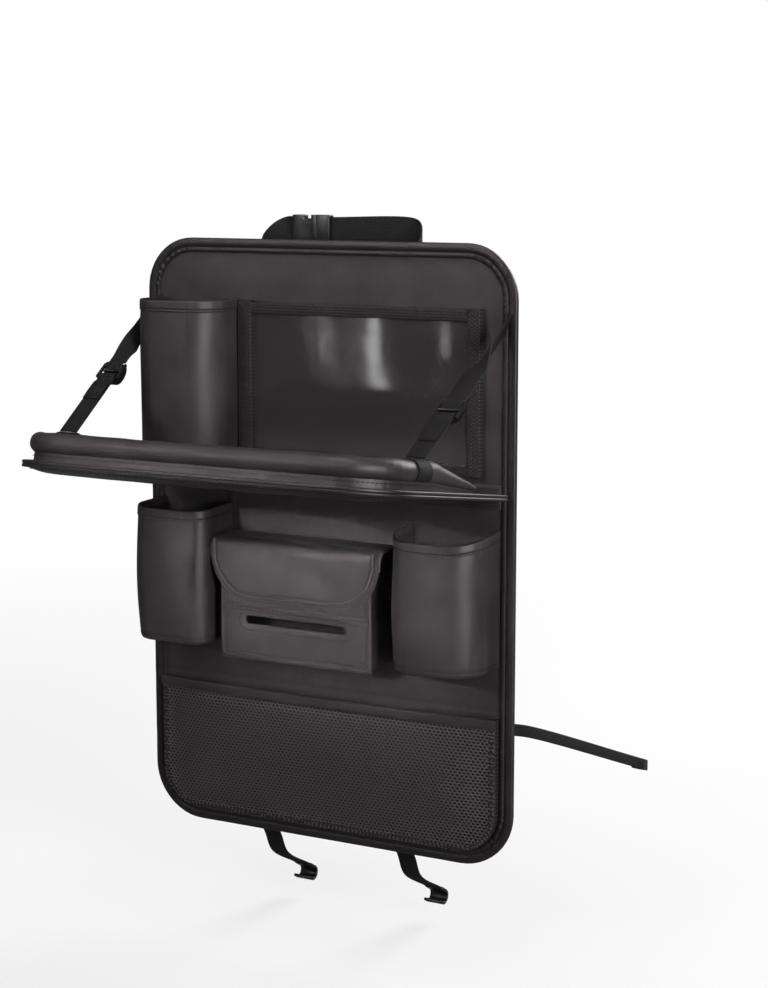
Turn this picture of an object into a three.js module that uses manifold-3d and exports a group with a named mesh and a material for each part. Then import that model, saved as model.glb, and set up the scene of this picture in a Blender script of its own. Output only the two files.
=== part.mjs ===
// Hanging seat back organizer: a padded panel with pockets, a mesh pouch and a fold-up tray.
// Millimetres. X to the right, +Y out of the back towards the seat, +Z up.
// The origin is the centre of the panel's rear face. Heights are measured from the panel's foot.
import * as THREE from 'three';
import { mergeVertices } from 'three/addons/utils/BufferGeometryUtils.js';
import Module from 'manifold-3d';

const wasm = await Module();
wasm.setup();

// Panel and its sewn edge binding
const PANEL_WIDTH = 410;
const PANEL_HEIGHT = 600;
const PANEL_THICKNESS = 5;
const TOP_RADIUS = 52;
const FOOT_RADIUS = 55;
const BINDING_WIDTH = 14;
const BINDING_SKIN = 1.6;
const BINDING_GROOVE = 0.8;
const SEWN_GAP = 0.3;

// Raised padded centre of the rear, inside a thinner sewn border
const REAR_STEP = 2.4;
const PAD_MARGIN = { side: 55, foot: 62, top: 70 };
const PAD_RADIUS = 30;

// Bottle and cup pockets: a bent wall with a floor and a folded hem
const POCKET_WALL = 2.4;
const HEM_HEIGHT = 10;
const HEM_PROUD = 0.8;
const UPPER_POCKET = { left: -186, right: -96, depth: 60, rl: 26, rr: 34, foot: 378, rim: 540, dip: 0 };
const CUP_POCKET = { left: -190, right: -107, depth: 60, rl: 22, rr: 14, foot: 200, rim: 336, dip: 2 };
const LOWER_POCKET = { left: 97, right: 190, depth: 58, rl: 28, rr: 32, foot: 198, rim: 331, dip: 8 };

// Tablet pocket: a clear film held by bands
const TABLET_GAP = 6.4;
const FILM_THICKNESS = 0.8;
const FILM_LEFT = -79;
const FILM_RIGHT = 157;
const FILM_FOOT = 392;
const FILM_TOP = 537;
const LEFT_BAND = 16;
const RIGHT_BAND = 14;
const TOP_BAND = 11;
const BOTTOM_BAND = 10;
const BAND_PROUD = 1.2;
const BAND_GRIP = 4;
const BAND_RISE = 3;

// Tray that folds up on its rear edge
const HINGE_DEPTH = 10;
const HINGE_HEIGHT = 366;
const TRAY_TILT = 9;
const TRAY_WIDTH = 404;
const TRAY_DEPTH = 250;
const TRAY_RADIUS = 62;
const TRAY_REAR = 0.6;
const BOARD_TOP = 1;
const BOARD_THICKNESS = 4.5;
const UNDERSIDE_BULGE = 8;
const LIP_WIDTH = 3.2;
const LIP_HEIGHT = 6.4;
const LIP_GROOVE = 1;
const RIM_INSET = 16;
const RIM_RADIUS = 10;
const RIM_NECK = 5.5;
const RIM_NECK_HEIGHT = 7;
const RIM_START = 42;
const RIM_SLOPE = 0.212;
const HINGE_STRIP = 22;
const HINGE_SHEET = 2;
const HINGE_ABOVE = 8;

// Tray straps, their sliders and the sewn patches on the rim
const WEBBING = 20;
const WEBBING_THICKNESS = 1.4;
const STRAP_TOP = 527;
const STRAP_X = 197;
const STRAP_TURN = 1.25;
const STRAP_TURN_START = 0.2;
const STRAP_TURN_END = 0.41;
const STRAP_SEAT = 0.35;
const PATCH_REACH = 162;
const PATCH_LENGTH = 24;
const PATCH_THICKNESS = 1.6;
const SLIDER_PLACE = { left: 0.52, right: 0.66 };
const SLIDER_BAR = 1.25;
const SLIDER_PITCH = 9;
const SLIDER_WAVE = 2.6;

// Tissue box with a lid flap
const BOX_LEFT = -93;
const BOX_RIGHT = 75;
const BOX_DEPTH = 45;
const BOX_FOOT = 190;
const BOX_TOP = 300;
const BOX_WALL = 2.5;
const BOX_PIPING = 1.2;
const SLOT_WIDTH = 116;
const SLOT_HEIGHT = 11;
const SLOT_LEVEL = 229;
const TRIM_LEVEL = 243;
const TRIM_HEIGHT = 7;
const TRIM_PROUD = 1.6;
const FLAP_MARGIN = 10.5;
const FLAP_SHEET = 2.6;
const FLAP_LEVEL = 309;
const FLAP_FOOT = 249;
const FLAP_RADIUS = 47;
const FLAP_CROWN = 13;
const FLAP_HINGE = 2.5;
const FLAP_PIPING = 1.8;
const FLAP_PIPING_INSET = 6;

// Mesh pouch
const MESH_MARGIN = 0.6;
const MESH_TOP = 147;
const MESH_SHEET = 1.1;
const MESH_POUCH = 8;
const MESH_RIM = 8;
const MESH_BINDING = 10;
const MESH_COLUMNS = 15;
const MESH_ROWS = 8;
const MESH_THREAD = 5;

// Straps and buckle around the headrest posts
const HEADREST_BAND = 38;
const HEADREST_SHEET = 1.8;
const HEADREST_REACH = 36;
const HEADREST_LEVEL = 602;
const HEADREST_TAIL = 562;
const HEADREST_SEWN = 52;
const BAND_LEFT = -82;
const BAND_RIGHT = 92;
const BUCKLE_LEFT = -57;
const SOCKET_LENGTH = 27;
const PLUG_LENGTH = 14;
const BUCKLE_HEIGHT = 42;
const BUCKLE_DEPTH = 11;
const BUCKLE_SLOT = 5;
const BUCKLE_SIDE = 3;
const BUCKLE_FACE = 2.5;
const BUCKLE_NOTCH = { near: 6, far: 15, depth: 4 };
const PRONG_SHARE = 0.2;
const PRONG_LENGTH = 19;
const PRONG_CLEAR = 0.5;

// Straps to the seat
const SIDE_LEVEL = 139;
const SIDE_BAND = 12;
const SIDE_SEWN = 48;
const SIDE_RISE = 20;
const SIDE_END = { x: 220, y: 293, z: 33 };
const FOOT_STRAP_X = 78;
const FOOT_STRAP_SEWN = 42;
const FOOT_RISE = 32;
const FOOT_END = { y: 78, z: -62 };
const HOOK_THICKNESS = 3;
const HOOK_BEND = 6.5;
const HOOK_SHANK = 12;
const HOOK_RETURN = 7;

// Finishes
const LEATHER = new THREE.MeshStandardMaterial({ color: 0x3a393b, roughness: 0.5, metalness: 0 });
const BINDING = new THREE.MeshStandardMaterial({ color: 0x232225, roughness: 0.6, metalness: 0 });
const WEB = new THREE.MeshStandardMaterial({ color: 0x1b1b1d, roughness: 0.85, metalness: 0 });
const NET = new THREE.MeshStandardMaterial({ color: 0x202022, roughness: 0.9, metalness: 0 });
const PLASTIC = new THREE.MeshStandardMaterial({ color: 0x1a1a1b, roughness: 0.4, metalness: 0 });
const CLEAR = new THREE.MeshStandardMaterial({ color: 0xe8ebee, roughness: 0.1, metalness: 0 });
CLEAR.transparent = true;
CLEAR.opacity = 0.3;

// Planes and places worked out from the sizes above
const FRONT = -PANEL_THICKNESS;
const SEAM = FRONT - SEWN_GAP;
const REAR = -REAR_STEP;
const STRAP_BACK = REAR + SEWN_GAP + HEADREST_SHEET / 2;
const HINGE_Y = FRONT - HINGE_DEPTH;
const BOARD_FOOT = BOARD_TOP - BOARD_THICKNESS;
const TILT = THREE.MathUtils.degToRad(TRAY_TILT);
const RIM_SEAT = BOARD_TOP + SEWN_GAP;
const RIM_CENTRE = RIM_SEAT + RIM_NECK_HEIGHT + RIM_RADIUS;
const RIM_TOP = RIM_CENTRE + RIM_RADIUS;
const FILM_BACK = SEAM - TABLET_GAP;
const FILM_FACE = FILM_BACK - FILM_THICKNESS;
const FLAP_CLEAR = FLAP_SHEET + BOX_PIPING + 2 * SEWN_GAP;

const vec = (x, y, z) => new THREE.Vector3(x, y, z);

// A mesh whose faces point out, whichever way its rings were listed.
function outward(geometry) {
  const p = geometry.attributes.position;
  const index = geometry.index.array;
  let volume = 0;
  for (let i = 0; i < index.length; i += 3) {
    const [a, b, c] = [0, 1, 2].map((k) => new THREE.Vector3().fromBufferAttribute(p, index[i + k]));
    volume += a.dot(b.cross(c));
  }
  if (volume > 0) return geometry;
  const turned = Array.from(index);
  for (let i = 0; i < turned.length; i += 3) [turned[i], turned[i + 1]] = [turned[i + 1], turned[i]];
  geometry.setIndex(turned);
  return geometry;
}

// A closed skin over rings of points. flat gives each ring's own outline in a plane, for the caps.
function loft(rings, flat, closed = false) {
  const count = rings[0].length;
  const vertices = rings.flat().flatMap((q) => [q.x, q.y, q.z]);
  const faces = [];
  const spans = closed ? rings.length : rings.length - 1;
  for (let r = 0; r < spans; r += 1) {
    const here = r * count;
    const next = ((r + 1) % rings.length) * count;
    for (let k = 0; k < count; k += 1) {
      const j = (k + 1) % count;
      faces.push(here + k, here + j, next + j, here + k, next + j, next + k);
    }
  }
  if (!closed) {
    const last = (rings.length - 1) * count;
    const clockwise = THREE.ShapeUtils.isClockWise(flat);
    for (const tri of THREE.ShapeUtils.triangulateShape(flat, [])) {
      const turned = THREE.ShapeUtils.isClockWise(tri.map((i) => flat[i])) !== clockwise;
      const [a, b, c] = turned ? [...tri].reverse() : tri;
      faces.push(c, b, a, last + a, last + b, last + c);
    }
  }
  const geometry = new THREE.BufferGeometry();
  geometry.setAttribute('position', new THREE.Float32BufferAttribute(vertices, 3));
  geometry.setIndex(faces);
  return outward(geometry);
}

// Carries a flat section along stations, each with a place and two directions.
function sweep(stations, section, closed = false) {
  const rings = stations.map((s) => section.map(([a, b]) => {
    const scale = s.scale ?? 1;
    return s.at.clone().addScaledVector(s.u, a * scale).addScaledVector(s.v, b * scale);
  }));
  return loft(rings, section.map(([a, b]) => new THREE.Vector2(a, b)), closed);
}

// A flat strap through points, whose width keeps one direction all the way.
function strap(points, width, thickness, across, steps = 28) {
  const curve = new THREE.CatmullRomCurve3(points, false, 'centripetal');
  const stations = [];
  for (let i = 0; i <= steps; i += 1) {
    const t = i / steps;
    stations.push({ at: curve.getPoint(t), u: across, v: curve.getTangent(t).cross(across).normalize() });
  }
  return sweep(stations, rectangle(width, thickness));
}

const rectangle = (w, h) => [[-w / 2, -h / 2], [w / 2, -h / 2], [w / 2, h / 2], [-w / 2, h / 2]];

const circle = (radius, sides) => Array.from({ length: sides }, (_, i) => {
  const a = (2 * Math.PI * i) / sides;
  return [radius * Math.cos(a), radius * Math.sin(a)];
});

const shapeOf = (points) => new THREE.Shape(points.map(([x, y]) => new THREE.Vector2(x, y)));

const slab = (points, depth, holes = []) => {
  const shape = shapeOf(points);
  holes.forEach((hole) => shape.holes.push(new THREE.Path(hole.map(([x, y]) => new THREE.Vector2(x, y)))));
  return new THREE.ExtrudeGeometry(shape, { depth, bevelEnabled: false, steps: 1 });
};

const box = (x0, x1, y0, y1, z0, z1) => new THREE.BoxGeometry(x1 - x0, y1 - y0, z1 - z0)
  .translate((x0 + x1) / 2, (y0 + y1) / 2, (z0 + z1) / 2);

function solid(geometry) {
  const bare = geometry.clone();
  bare.deleteAttribute('normal');
  bare.deleteAttribute('uv');
  const merged = mergeVertices(bare, 1e-4);
  const vertProperties = new Float32Array(merged.attributes.position.array);
  const triVerts = new Uint32Array(merged.index.array);
  return new wasm.Manifold(new wasm.Mesh({ numProp: 3, vertProperties, triVerts }));
}

function geometryOf(manifold) {
  const mesh = manifold.getMesh();
  const geometry = new THREE.BufferGeometry();
  geometry.setAttribute('position', new THREE.Float32BufferAttribute(mesh.vertProperties, 3));
  geometry.setIndex(Array.from(mesh.triVerts));
  return geometry;
}

const joined = (first, ...rest) => geometryOf(rest.reduce((a, b) => a.add(solid(b)), solid(first)));
const cut = (first, ...rest) => geometryOf(rest.reduce((a, b) => a.subtract(solid(b)), solid(first)));

// Points of an arc round a centre, from one angle in degrees to another.
function arc(cx, cy, radius, from, to, steps = 8) {
  return Array.from({ length: steps + 1 }, (_, i) => {
    const a = THREE.MathUtils.degToRad(from + ((to - from) * i) / steps);
    return [cx + radius * Math.cos(a), cy + radius * Math.sin(a)];
  });
}

// The panel's outline, set in by a distance, in width and height.
function panelOutline(inset) {
  const w = PANEL_WIDTH / 2 - inset;
  const top = TOP_RADIUS - inset;
  const foot = FOOT_RADIUS - inset;
  const high = PANEL_HEIGHT - inset;
  return [
    ...arc(w - top, high - top, top, 0, 90),
    ...arc(-w + top, high - top, top, 90, 180),
    ...arc(-w + foot, inset + foot, foot, 180, 270),
    ...arc(w - foot, inset + foot, foot, 270, 360),
  ];
}

// A sheet standing in the panel's plane, from its rear face at back to the front.
const standing = (points, back, depth, holes) => slab(points, depth, holes)
  .rotateX(Math.PI / 2).translate(0, back, 0);

// The padded centre's outline, in width and height.
function padOutline() {
  const w = PANEL_WIDTH / 2 - PAD_MARGIN.side - PAD_RADIUS;
  const high = PANEL_HEIGHT - PAD_MARGIN.top - PAD_RADIUS;
  const low = PAD_MARGIN.foot + PAD_RADIUS;
  return [
    ...arc(w, high, PAD_RADIUS, 0, 90), ...arc(-w, high, PAD_RADIUS, 90, 180),
    ...arc(-w, low, PAD_RADIUS, 180, 270), ...arc(w, low, PAD_RADIUS, 270, 360),
  ];
}

function backPanel() {
  const border = standing(panelOutline(BINDING_SKIN + SEWN_GAP), REAR, PANEL_THICKNESS - REAR_STEP);
  const centre = standing(padOutline(), 0, (PANEL_THICKNESS + REAR_STEP) / 2);
  return joined(border, centre);
}

function edgeBinding() {
  const face = FRONT - BINDING_SKIN;
  const back = REAR + BINDING_SKIN;
  const groove = BINDING_WIDTH * 0.6;
  const section = [
    [BINDING_WIDTH, SEAM], [BINDING_WIDTH, face + 0.5], [BINDING_WIDTH - 0.6, face],
    [groove + BINDING_GROOVE, face], [groove, face + BINDING_GROOVE], [groove - BINDING_GROOVE, face],
    [BINDING_SKIN, face], [0.4, face + 0.6], [0, FRONT], [0, REAR], [0.4, back - 0.6],
    [BINDING_SKIN, back], [BINDING_WIDTH, back], [BINDING_WIDTH, REAR + SEWN_GAP],
    [BINDING_SKIN, REAR + SEWN_GAP], [BINDING_SKIN, SEAM],
  ];
  const outlines = section.map(([inset]) => panelOutline(inset));
  const corner = (i) => section.map(([, y], k) => vec(outlines[k][i][0], y, outlines[k][i][1]));
  const rings = outlines[0].map((_, i) => corner(i));
  return loft(rings, null, true);
}

// Half outline of a pocket: from the panel round the front and back, offset outwards by grow.
function pocketCurve(p, grow) {
  const left = p.left - grow;
  const right = p.right + grow;
  const face = SEAM - p.depth - grow;
  return [
    [left, SEAM],
    ...arc(left + p.rl + grow, face + p.rl + grow, p.rl + grow, 180, 270),
    ...arc(right - p.rr - grow, face + p.rr + grow, p.rr + grow, 270, 360),
    [right, SEAM],
  ];
}

const pocketWall = (p, outer, inner) => [...pocketCurve(p, outer), ...pocketCurve(p, inner).reverse()];

function pocket(p) {
  const wall = slab(pocketWall(p, 0, -POCKET_WALL), p.rim - p.foot).translate(0, 0, p.foot);
  const hem = slab(pocketWall(p, HEM_PROUD, -POCKET_WALL), HEM_HEIGHT).translate(0, 0, p.rim - HEM_HEIGHT);
  const floor = slab(pocketCurve(p, 0), POCKET_WALL).translate(0, 0, p.foot);
  const geometry = joined(wall, hem, floor);
  const at = geometry.attributes.position;
  for (let i = 0; i < at.count; i += 1) {
    const forward = (SEAM - at.getY(i)) / p.depth;
    const high = Math.max(0, (at.getZ(i) - p.foot) / (p.rim - p.foot) - 0.5) * 2;
    at.setZ(i, at.getZ(i) - p.dip * forward * forward * high);
  }
  return geometry;
}

// A band that grips an edge of the film: a block with a slot in one side, in depth and width.
function gripBand(width) {
  const face = FILM_FACE - BAND_PROUD;
  return [
    [0, SEAM], [width, SEAM], [width, face], [0, face],
    [0, FILM_FACE - SEWN_GAP], [BAND_GRIP, FILM_FACE - SEWN_GAP],
    [BAND_GRIP, FILM_BACK + SEWN_GAP], [0, FILM_BACK + SEWN_GAP],
  ];
}

const sideBand = (edge, width, side) => slab(gripBand(width).map(([a, y]) => [edge + side * a, y]),
  FILM_TOP + BAND_RISE - FILM_FOOT + BOTTOM_BAND)
  .translate(0, 0, FILM_FOOT - BOTTOM_BAND);

function bottomBand() {
  const section = gripBand(BOTTOM_BAND).map(([a, y]) => [y, FILM_FOOT - a]);
  const long = FILM_RIGHT - FILM_LEFT - 2 * SEWN_GAP;
  return slab(section, long).rotateZ(Math.PI / 2).rotateY(Math.PI / 2).translate(FILM_LEFT + SEWN_GAP, 0, 0);
}

function topBand() {
  const back = FILM_BACK + SEWN_GAP;
  const face = FILM_FACE - SEWN_GAP;
  const top = FILM_TOP + SEWN_GAP + BAND_PROUD;
  const section = [
    [face - BAND_PROUD, top - TOP_BAND], [face, top - TOP_BAND], [face, FILM_TOP + SEWN_GAP],
    [back, FILM_TOP + SEWN_GAP], [back, top - TOP_BAND], [back + BAND_PROUD, top - TOP_BAND],
    [back + BAND_PROUD, top], [face - BAND_PROUD, top],
  ];
  const long = FILM_RIGHT - FILM_LEFT - 2 * SEWN_GAP;
  return slab(section, long).rotateZ(Math.PI / 2).rotateY(Math.PI / 2).translate(FILM_LEFT + SEWN_GAP, 0, 0);
}

function tabletWindow() {
  const tuck = BAND_GRIP - SEWN_GAP;
  return box(FILM_LEFT - tuck, FILM_RIGHT + tuck, FILM_FACE, FILM_BACK, FILM_FOOT - tuck, FILM_TOP);
}

// The tray's outline seen from above, set in by a distance: rear edge at TRAY_REAR.
function trayOutline(inset, steps = 9) {
  const w = TRAY_WIDTH / 2 - inset;
  const r = TRAY_RADIUS - Math.min(inset, TRAY_RADIUS * 0.8);
  const far = TRAY_DEPTH - inset;
  const rear = TRAY_REAR + Math.max(0, inset - LIP_WIDTH - SEWN_GAP);
  return [
    [w, rear], ...arc(w - r, far - r, r, 0, 90, steps), ...arc(-w + r, far - r, r, 90, 180, steps), [-w, rear],
  ];
}

function trayBoard() {
  const edge = LIP_WIDTH + SEWN_GAP;
  const levels = [
    [edge, BOARD_TOP], [edge, BOARD_FOOT], [edge + 8, BOARD_FOOT - UNDERSIDE_BULGE * 0.35],
    [edge + 28, BOARD_FOOT - UNDERSIDE_BULGE * 0.75], [edge + 58, BOARD_FOOT - UNDERSIDE_BULGE],
  ];
  const rings = levels.map(([inset, z]) => trayOutline(inset).map(([x, v]) => vec(x, -v, z)));
  const flat = trayOutline(levels[0][0]).map(([x, v]) => new THREE.Vector2(x, -v));
  return loft(rings, flat);
}

function trayLip() {
  const low = BOARD_FOOT - (LIP_HEIGHT - BOARD_THICKNESS) / 2;
  const high = low + LIP_HEIGHT;
  const mid = (low + high) / 2;
  const rows = [
    [LIP_WIDTH, low], [0.6, low], [0, low + 0.6], [0, mid - LIP_GROOVE], [LIP_GROOVE, mid],
    [0, mid + LIP_GROOVE], [0, high - 0.6], [0.6, high], [LIP_WIDTH, high],
  ];
  const outlines = rows.map(([inset]) => trayOutline(inset));
  const corner = (i) => rows.map(([, z], k) => vec(outlines[k][i][0], -outlines[k][i][1], z));
  const rings = outlines[0].map((_, i) => corner(i));
  return loft(rings, rows.map(([inset, z]) => new THREE.Vector2(inset, z)));
}

// Padded roll on a neck, tapering down along both sides towards the hinge.
function trayRim() {
  const base = trayOutline(RIM_INSET, 10).map(([x, v]) => vec(x, -v, 0));
  const right = base[0].x;
  const full = RIM_TOP / RIM_SLOPE;
  const side = [0, 0.33, 0.66, 1].map((t) => RIM_START + (full - RIM_START) * t);
  const middle = base.slice(1, -1);
  const rightSide = side.map((v) => vec(right, -v, 0));
  const leftSide = [...side].reverse().map((v) => vec(-right, -v, 0));
  const line = [...rightSide, ...middle, ...leftSide];
  const roll = arc(0, RIM_NECK_HEIGHT + RIM_RADIUS, RIM_RADIUS, -62, 242, 14);
  const section = [[-RIM_NECK, 0], [RIM_NECK, 0], ...roll];
  const stations = line.map((at, i) => {
    const before = line[Math.max(i - 1, 0)];
    const after = line[Math.min(i + 1, line.length - 1)];
    const along = after.clone().sub(before).normalize();
    const scale = Math.min(1, (-at.y * RIM_SLOPE - RIM_SEAT) / (RIM_TOP - RIM_SEAT));
    return { at: at.clone().setZ(RIM_SEAT), u: vec(along.y, -along.x, 0), v: vec(0, 0, 1), scale };
  });
  return sweep(stations, section);
}

// A webbing patch bent over the roll where a strap is sewn down.
function rimPatch(side) {
  const inner = RIM_RADIUS + SEWN_GAP;
  const outer = inner + PATCH_THICKNESS;
  const section = [...arc(0, 0, outer, -25, 140, 12), ...arc(0, 0, inner, 140, -25, 12)];
  const x = TRAY_WIDTH / 2 - RIM_INSET;
  const placed = section.map(([a, b]) => [side * (x + a), RIM_CENTRE + b]);
  return slab(placed, PATCH_LENGTH).rotateX(Math.PI / 2).translate(0, -PATCH_REACH + PATCH_LENGTH / 2, 0);
}

// Where a point of the tray's own frame lies on the whole object.
function onTray(x, reach, level) {
  const c = Math.cos(TILT);
  const s = Math.sin(TILT);
  return vec(x, HINGE_Y - reach * c + level * s, HINGE_HEIGHT + reach * s + level * c);
}

function strapLine(side) {
  const head = vec(side * STRAP_X, FRONT - BINDING_SKIN - SEWN_GAP - STRAP_SEAT, STRAP_TOP);
  const x = TRAY_WIDTH / 2 - RIM_INSET;
  const top = RIM_TOP + SEWN_GAP + PATCH_THICKNESS + SEWN_GAP + STRAP_SEAT;
  return { head, tail: onTray(side * x, PATCH_REACH, top) };
}

// The strap leaves the panel edge on, turns flat and weaves through the slider's bars.
function trayStrap(side, place) {
  const { head, tail } = strapLine(side);
  const run = tail.clone().sub(head);
  const length = run.length();
  const along = run.clone().normalize();
  const flat = vec(1, 0, 0);
  const normal = along.clone().cross(flat).normalize();
  const weave = (1.9 * SLIDER_PITCH) / length;
  const step = (from, to, steps) => (_, i) => from + ((to - from) * i) / steps;
  const even = (from, to, steps) => Array.from({ length: steps + 1 }, step(from, to, steps));
  const shares = [...even(0, place - weave, 14), ...even(place - weave, place + weave, 22).slice(1, -1),
    ...even(place + weave, 1, 5)];
  const stations = [];
  for (const t of shares) {
    const s = (t - place) * length;
    const turn = (1 - THREE.MathUtils.smoothstep(t, STRAP_TURN_START, STRAP_TURN_END)) * STRAP_TURN;
    const near = 1 - THREE.MathUtils.smoothstep(Math.abs(s), SLIDER_PITCH, 1.9 * SLIDER_PITCH);
    const wave = -SLIDER_WAVE * Math.cos((Math.PI * s) / SLIDER_PITCH) * near;
    const at = head.clone().addScaledVector(run, t).addScaledVector(normal, wave);
    const u = vec(Math.cos(turn), 0, -Math.sin(turn));
    stations.push({ at, u, v: along.clone().cross(u).normalize() });
  }
  return sweep(stations, rectangle(WEBBING, WEBBING_THICKNESS));
}

// Three cross bars between two side bars; the strap weaves over and under them.
function slider(side, place) {
  const { head, tail } = strapLine(side);
  const half = WEBBING / 2 + 0.6;
  const reach = SLIDER_PITCH + SLIDER_BAR;
  const side1 = box(-half - 2.4, -half, -reach, reach, -SLIDER_BAR, SLIDER_BAR);
  const side2 = box(half, half + 2.4, -reach, reach, -SLIDER_BAR, SLIDER_BAR);
  const bars = [-SLIDER_PITCH, 0, SLIDER_PITCH].map((y) => slab(circle(SLIDER_BAR, 10), 2 * half + 2)
    .rotateY(Math.PI / 2).translate(-half - 1, y, 0));
  const along = tail.clone().sub(head).normalize();
  const flat = vec(1, 0, 0);
  const frame = new THREE.Matrix4().makeBasis(flat, along, flat.clone().cross(along));
  frame.setPosition(head.clone().lerp(tail, place));
  return joined(side1, side2, ...bars).applyMatrix4(frame);
}

function hingeStrip() {
  const high = HINGE_HEIGHT + HINGE_ABOVE;
  const low = high - HINGE_STRIP;
  const front = SEAM - HINGE_SHEET;
  const section = [
    [SEAM, low], [SEAM, high], [front, high], [front, HINGE_HEIGHT], [HINGE_Y, HINGE_HEIGHT],
    [HINGE_Y, HINGE_HEIGHT - HINGE_SHEET], [front, HINGE_HEIGHT - HINGE_SHEET], [front, low],
  ];
  const half = PANEL_WIDTH / 2 - BINDING_WIDTH - SEWN_GAP;
  return slab(section, 2 * half).rotateZ(Math.PI / 2).rotateY(Math.PI / 2).translate(-half, 0, 0);
}

function tissueBox() {
  const face = SEAM - BOX_DEPTH;
  const shell = box(BOX_LEFT, BOX_RIGHT, face, SEAM, BOX_FOOT, BOX_TOP);
  const inside = box(BOX_LEFT + BOX_WALL, BOX_RIGHT - BOX_WALL, face + BOX_WALL, SEAM + 5,
    BOX_FOOT + BOX_WALL, BOX_TOP + 5);
  const middle = (BOX_LEFT + BOX_RIGHT) / 2;
  const end = (SLOT_WIDTH - SLOT_HEIGHT) / 2;
  const round = [
    ...arc(middle + end, SLOT_LEVEL, SLOT_HEIGHT / 2, -90, 90),
    ...arc(middle - end, SLOT_LEVEL, SLOT_HEIGHT / 2, 90, 270),
  ];
  const slot = standing(round, face + BOX_WALL + 2, BOX_WALL + 4);
  const tall = BOX_TOP - BOX_FOOT - FLAP_CROWN;
  const post = (x) => slab(circle(BOX_PIPING, 8), tall).translate(x, face, BOX_FOOT);
  const piped = joined(shell, post(BOX_LEFT + BOX_PIPING), post(BOX_RIGHT - BOX_PIPING));
  return cut(piped, inside, slot);
}

// Two rounded ribs sewn across the box above its slot.
function slotTrim() {
  const back = SEAM - BOX_DEPTH - SEWN_GAP;
  const section = [[back, TRIM_LEVEL], [back, TRIM_LEVEL - TRIM_HEIGHT]];
  const quarter = TRIM_HEIGHT / 4;
  for (const centre of [TRIM_LEVEL - 3 * quarter, TRIM_LEVEL - quarter]) {
    section.push(...arc(0, centre, quarter, -80, 80, 5)
      .map(([a, z]) => [back - (a / quarter) * TRIM_PROUD, z]));
  }
  const long = BOX_RIGHT - BOX_LEFT - 4 * BOX_PIPING - 2 * SEWN_GAP;
  return slab(section, long).rotateZ(Math.PI / 2).rotateY(Math.PI / 2)
    .translate(BOX_LEFT + 2 * BOX_PIPING + SEWN_GAP, 0, 0);
}

// The lid's profile from its sewn rear edge over the box and down the front, as depth and height.
function flapProfile(foot) {
  const face = SEAM - BOX_DEPTH - FLAP_CLEAR;
  const crown = FLAP_LEVEL;
  const rear = SEAM - FLAP_HINGE;
  return [
    [rear, crown], [rear - 12, crown + 1.5], [rear - 24, crown + 1.5],
    ...arc(face + FLAP_CROWN, crown - FLAP_CROWN + 1, FLAP_CROWN, 80, 180, 6),
    ...[0.25, 0.5, 0.75, 1].map((t) => [face, crown - FLAP_CROWN + 1 + (foot - crown + FLAP_CROWN - 1) * t]),
  ];
}

// Height of the lid's rounded lower edge at a distance from its middle.
function flapFoot(x) {
  const flat = (BOX_RIGHT - BOX_LEFT) / 2 + FLAP_MARGIN - FLAP_RADIUS;
  const over = Math.max(0, Math.abs(x) - flat);
  const drop = Math.sqrt(Math.max(0, FLAP_RADIUS * FLAP_RADIUS - over * over));
  return Math.min(FLAP_FOOT + FLAP_RADIUS - drop, FLAP_LEVEL - FLAP_CROWN - 6);
}

function tissueFlap() {
  const half = (BOX_RIGHT - BOX_LEFT) / 2 + FLAP_MARGIN;
  const middle = (BOX_RIGHT + BOX_LEFT) / 2;
  const columns = 26;
  const rings = [];
  for (let c = 0; c <= columns; c += 1) {
    const angle = -Math.PI / 2 + (Math.PI * c) / columns;
    const x = half * Math.sin(angle);
    const line = flapProfile(flapFoot(x));
    const inner = line.map(([y, z], i) => {
      const [y0, z0] = line[Math.max(i - 1, 0)];
      const [y1, z1] = line[Math.min(i + 1, line.length - 1)];
      const size = Math.hypot(y1 - y0, z1 - z0);
      return [y - ((z1 - z0) / size) * FLAP_SHEET, z + ((y1 - y0) / size) * FLAP_SHEET];
    });
    rings.push([...line, ...inner.reverse()].map(([y, z]) => vec(middle + x, y, z)));
  }
  const flat = rings[0].map((q) => new THREE.Vector2(q.y, q.z));
  return loft(rings, flat);
}

function flapPiping() {
  const half = (BOX_RIGHT - BOX_LEFT) / 2 + FLAP_MARGIN - FLAP_PIPING_INSET;
  const middle = (BOX_RIGHT + BOX_LEFT) / 2;
  const r = FLAP_RADIUS - FLAP_PIPING_INSET;
  const foot = FLAP_FOOT + FLAP_PIPING_INSET;
  const face = SEAM - BOX_DEPTH - FLAP_CLEAR - SEWN_GAP - FLAP_PIPING;
  const line = [...arc(half - r, foot + r, r, 0, -90, 9), ...arc(-half + r, foot + r, r, -90, -180, 9)]
    .map(([x, z]) => vec(middle + x, face, z));
  const stations = line.map((at, i) => {
    const along = line[Math.min(i + 1, line.length - 1)].clone().sub(line[Math.max(i - 1, 0)]).normalize();
    return { at, u: vec(0, 1, 0), v: along.clone().cross(vec(0, 1, 0)).normalize() };
  });
  return sweep(stations, circle(FLAP_PIPING, 8));
}

// The pouch's outline: straight top, panel-shaped foot.
function pouchOutline(inset, top) {
  const all = panelOutline(BINDING_WIDTH + MESH_MARGIN + inset).slice(18);
  const left = all[0][0];
  return [[-left, top], [left, top], ...all];
}

function meshGusset() {
  const top = MESH_TOP + BAND_RISE;
  const outer = pouchOutline(0, top);
  const inner = pouchOutline(MESH_RIM, top);
  const ring = [...outer.slice(1), outer[0], inner[0], ...inner.slice(1).reverse()];
  return standing(ring, SEAM, MESH_POUCH);
}

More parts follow.
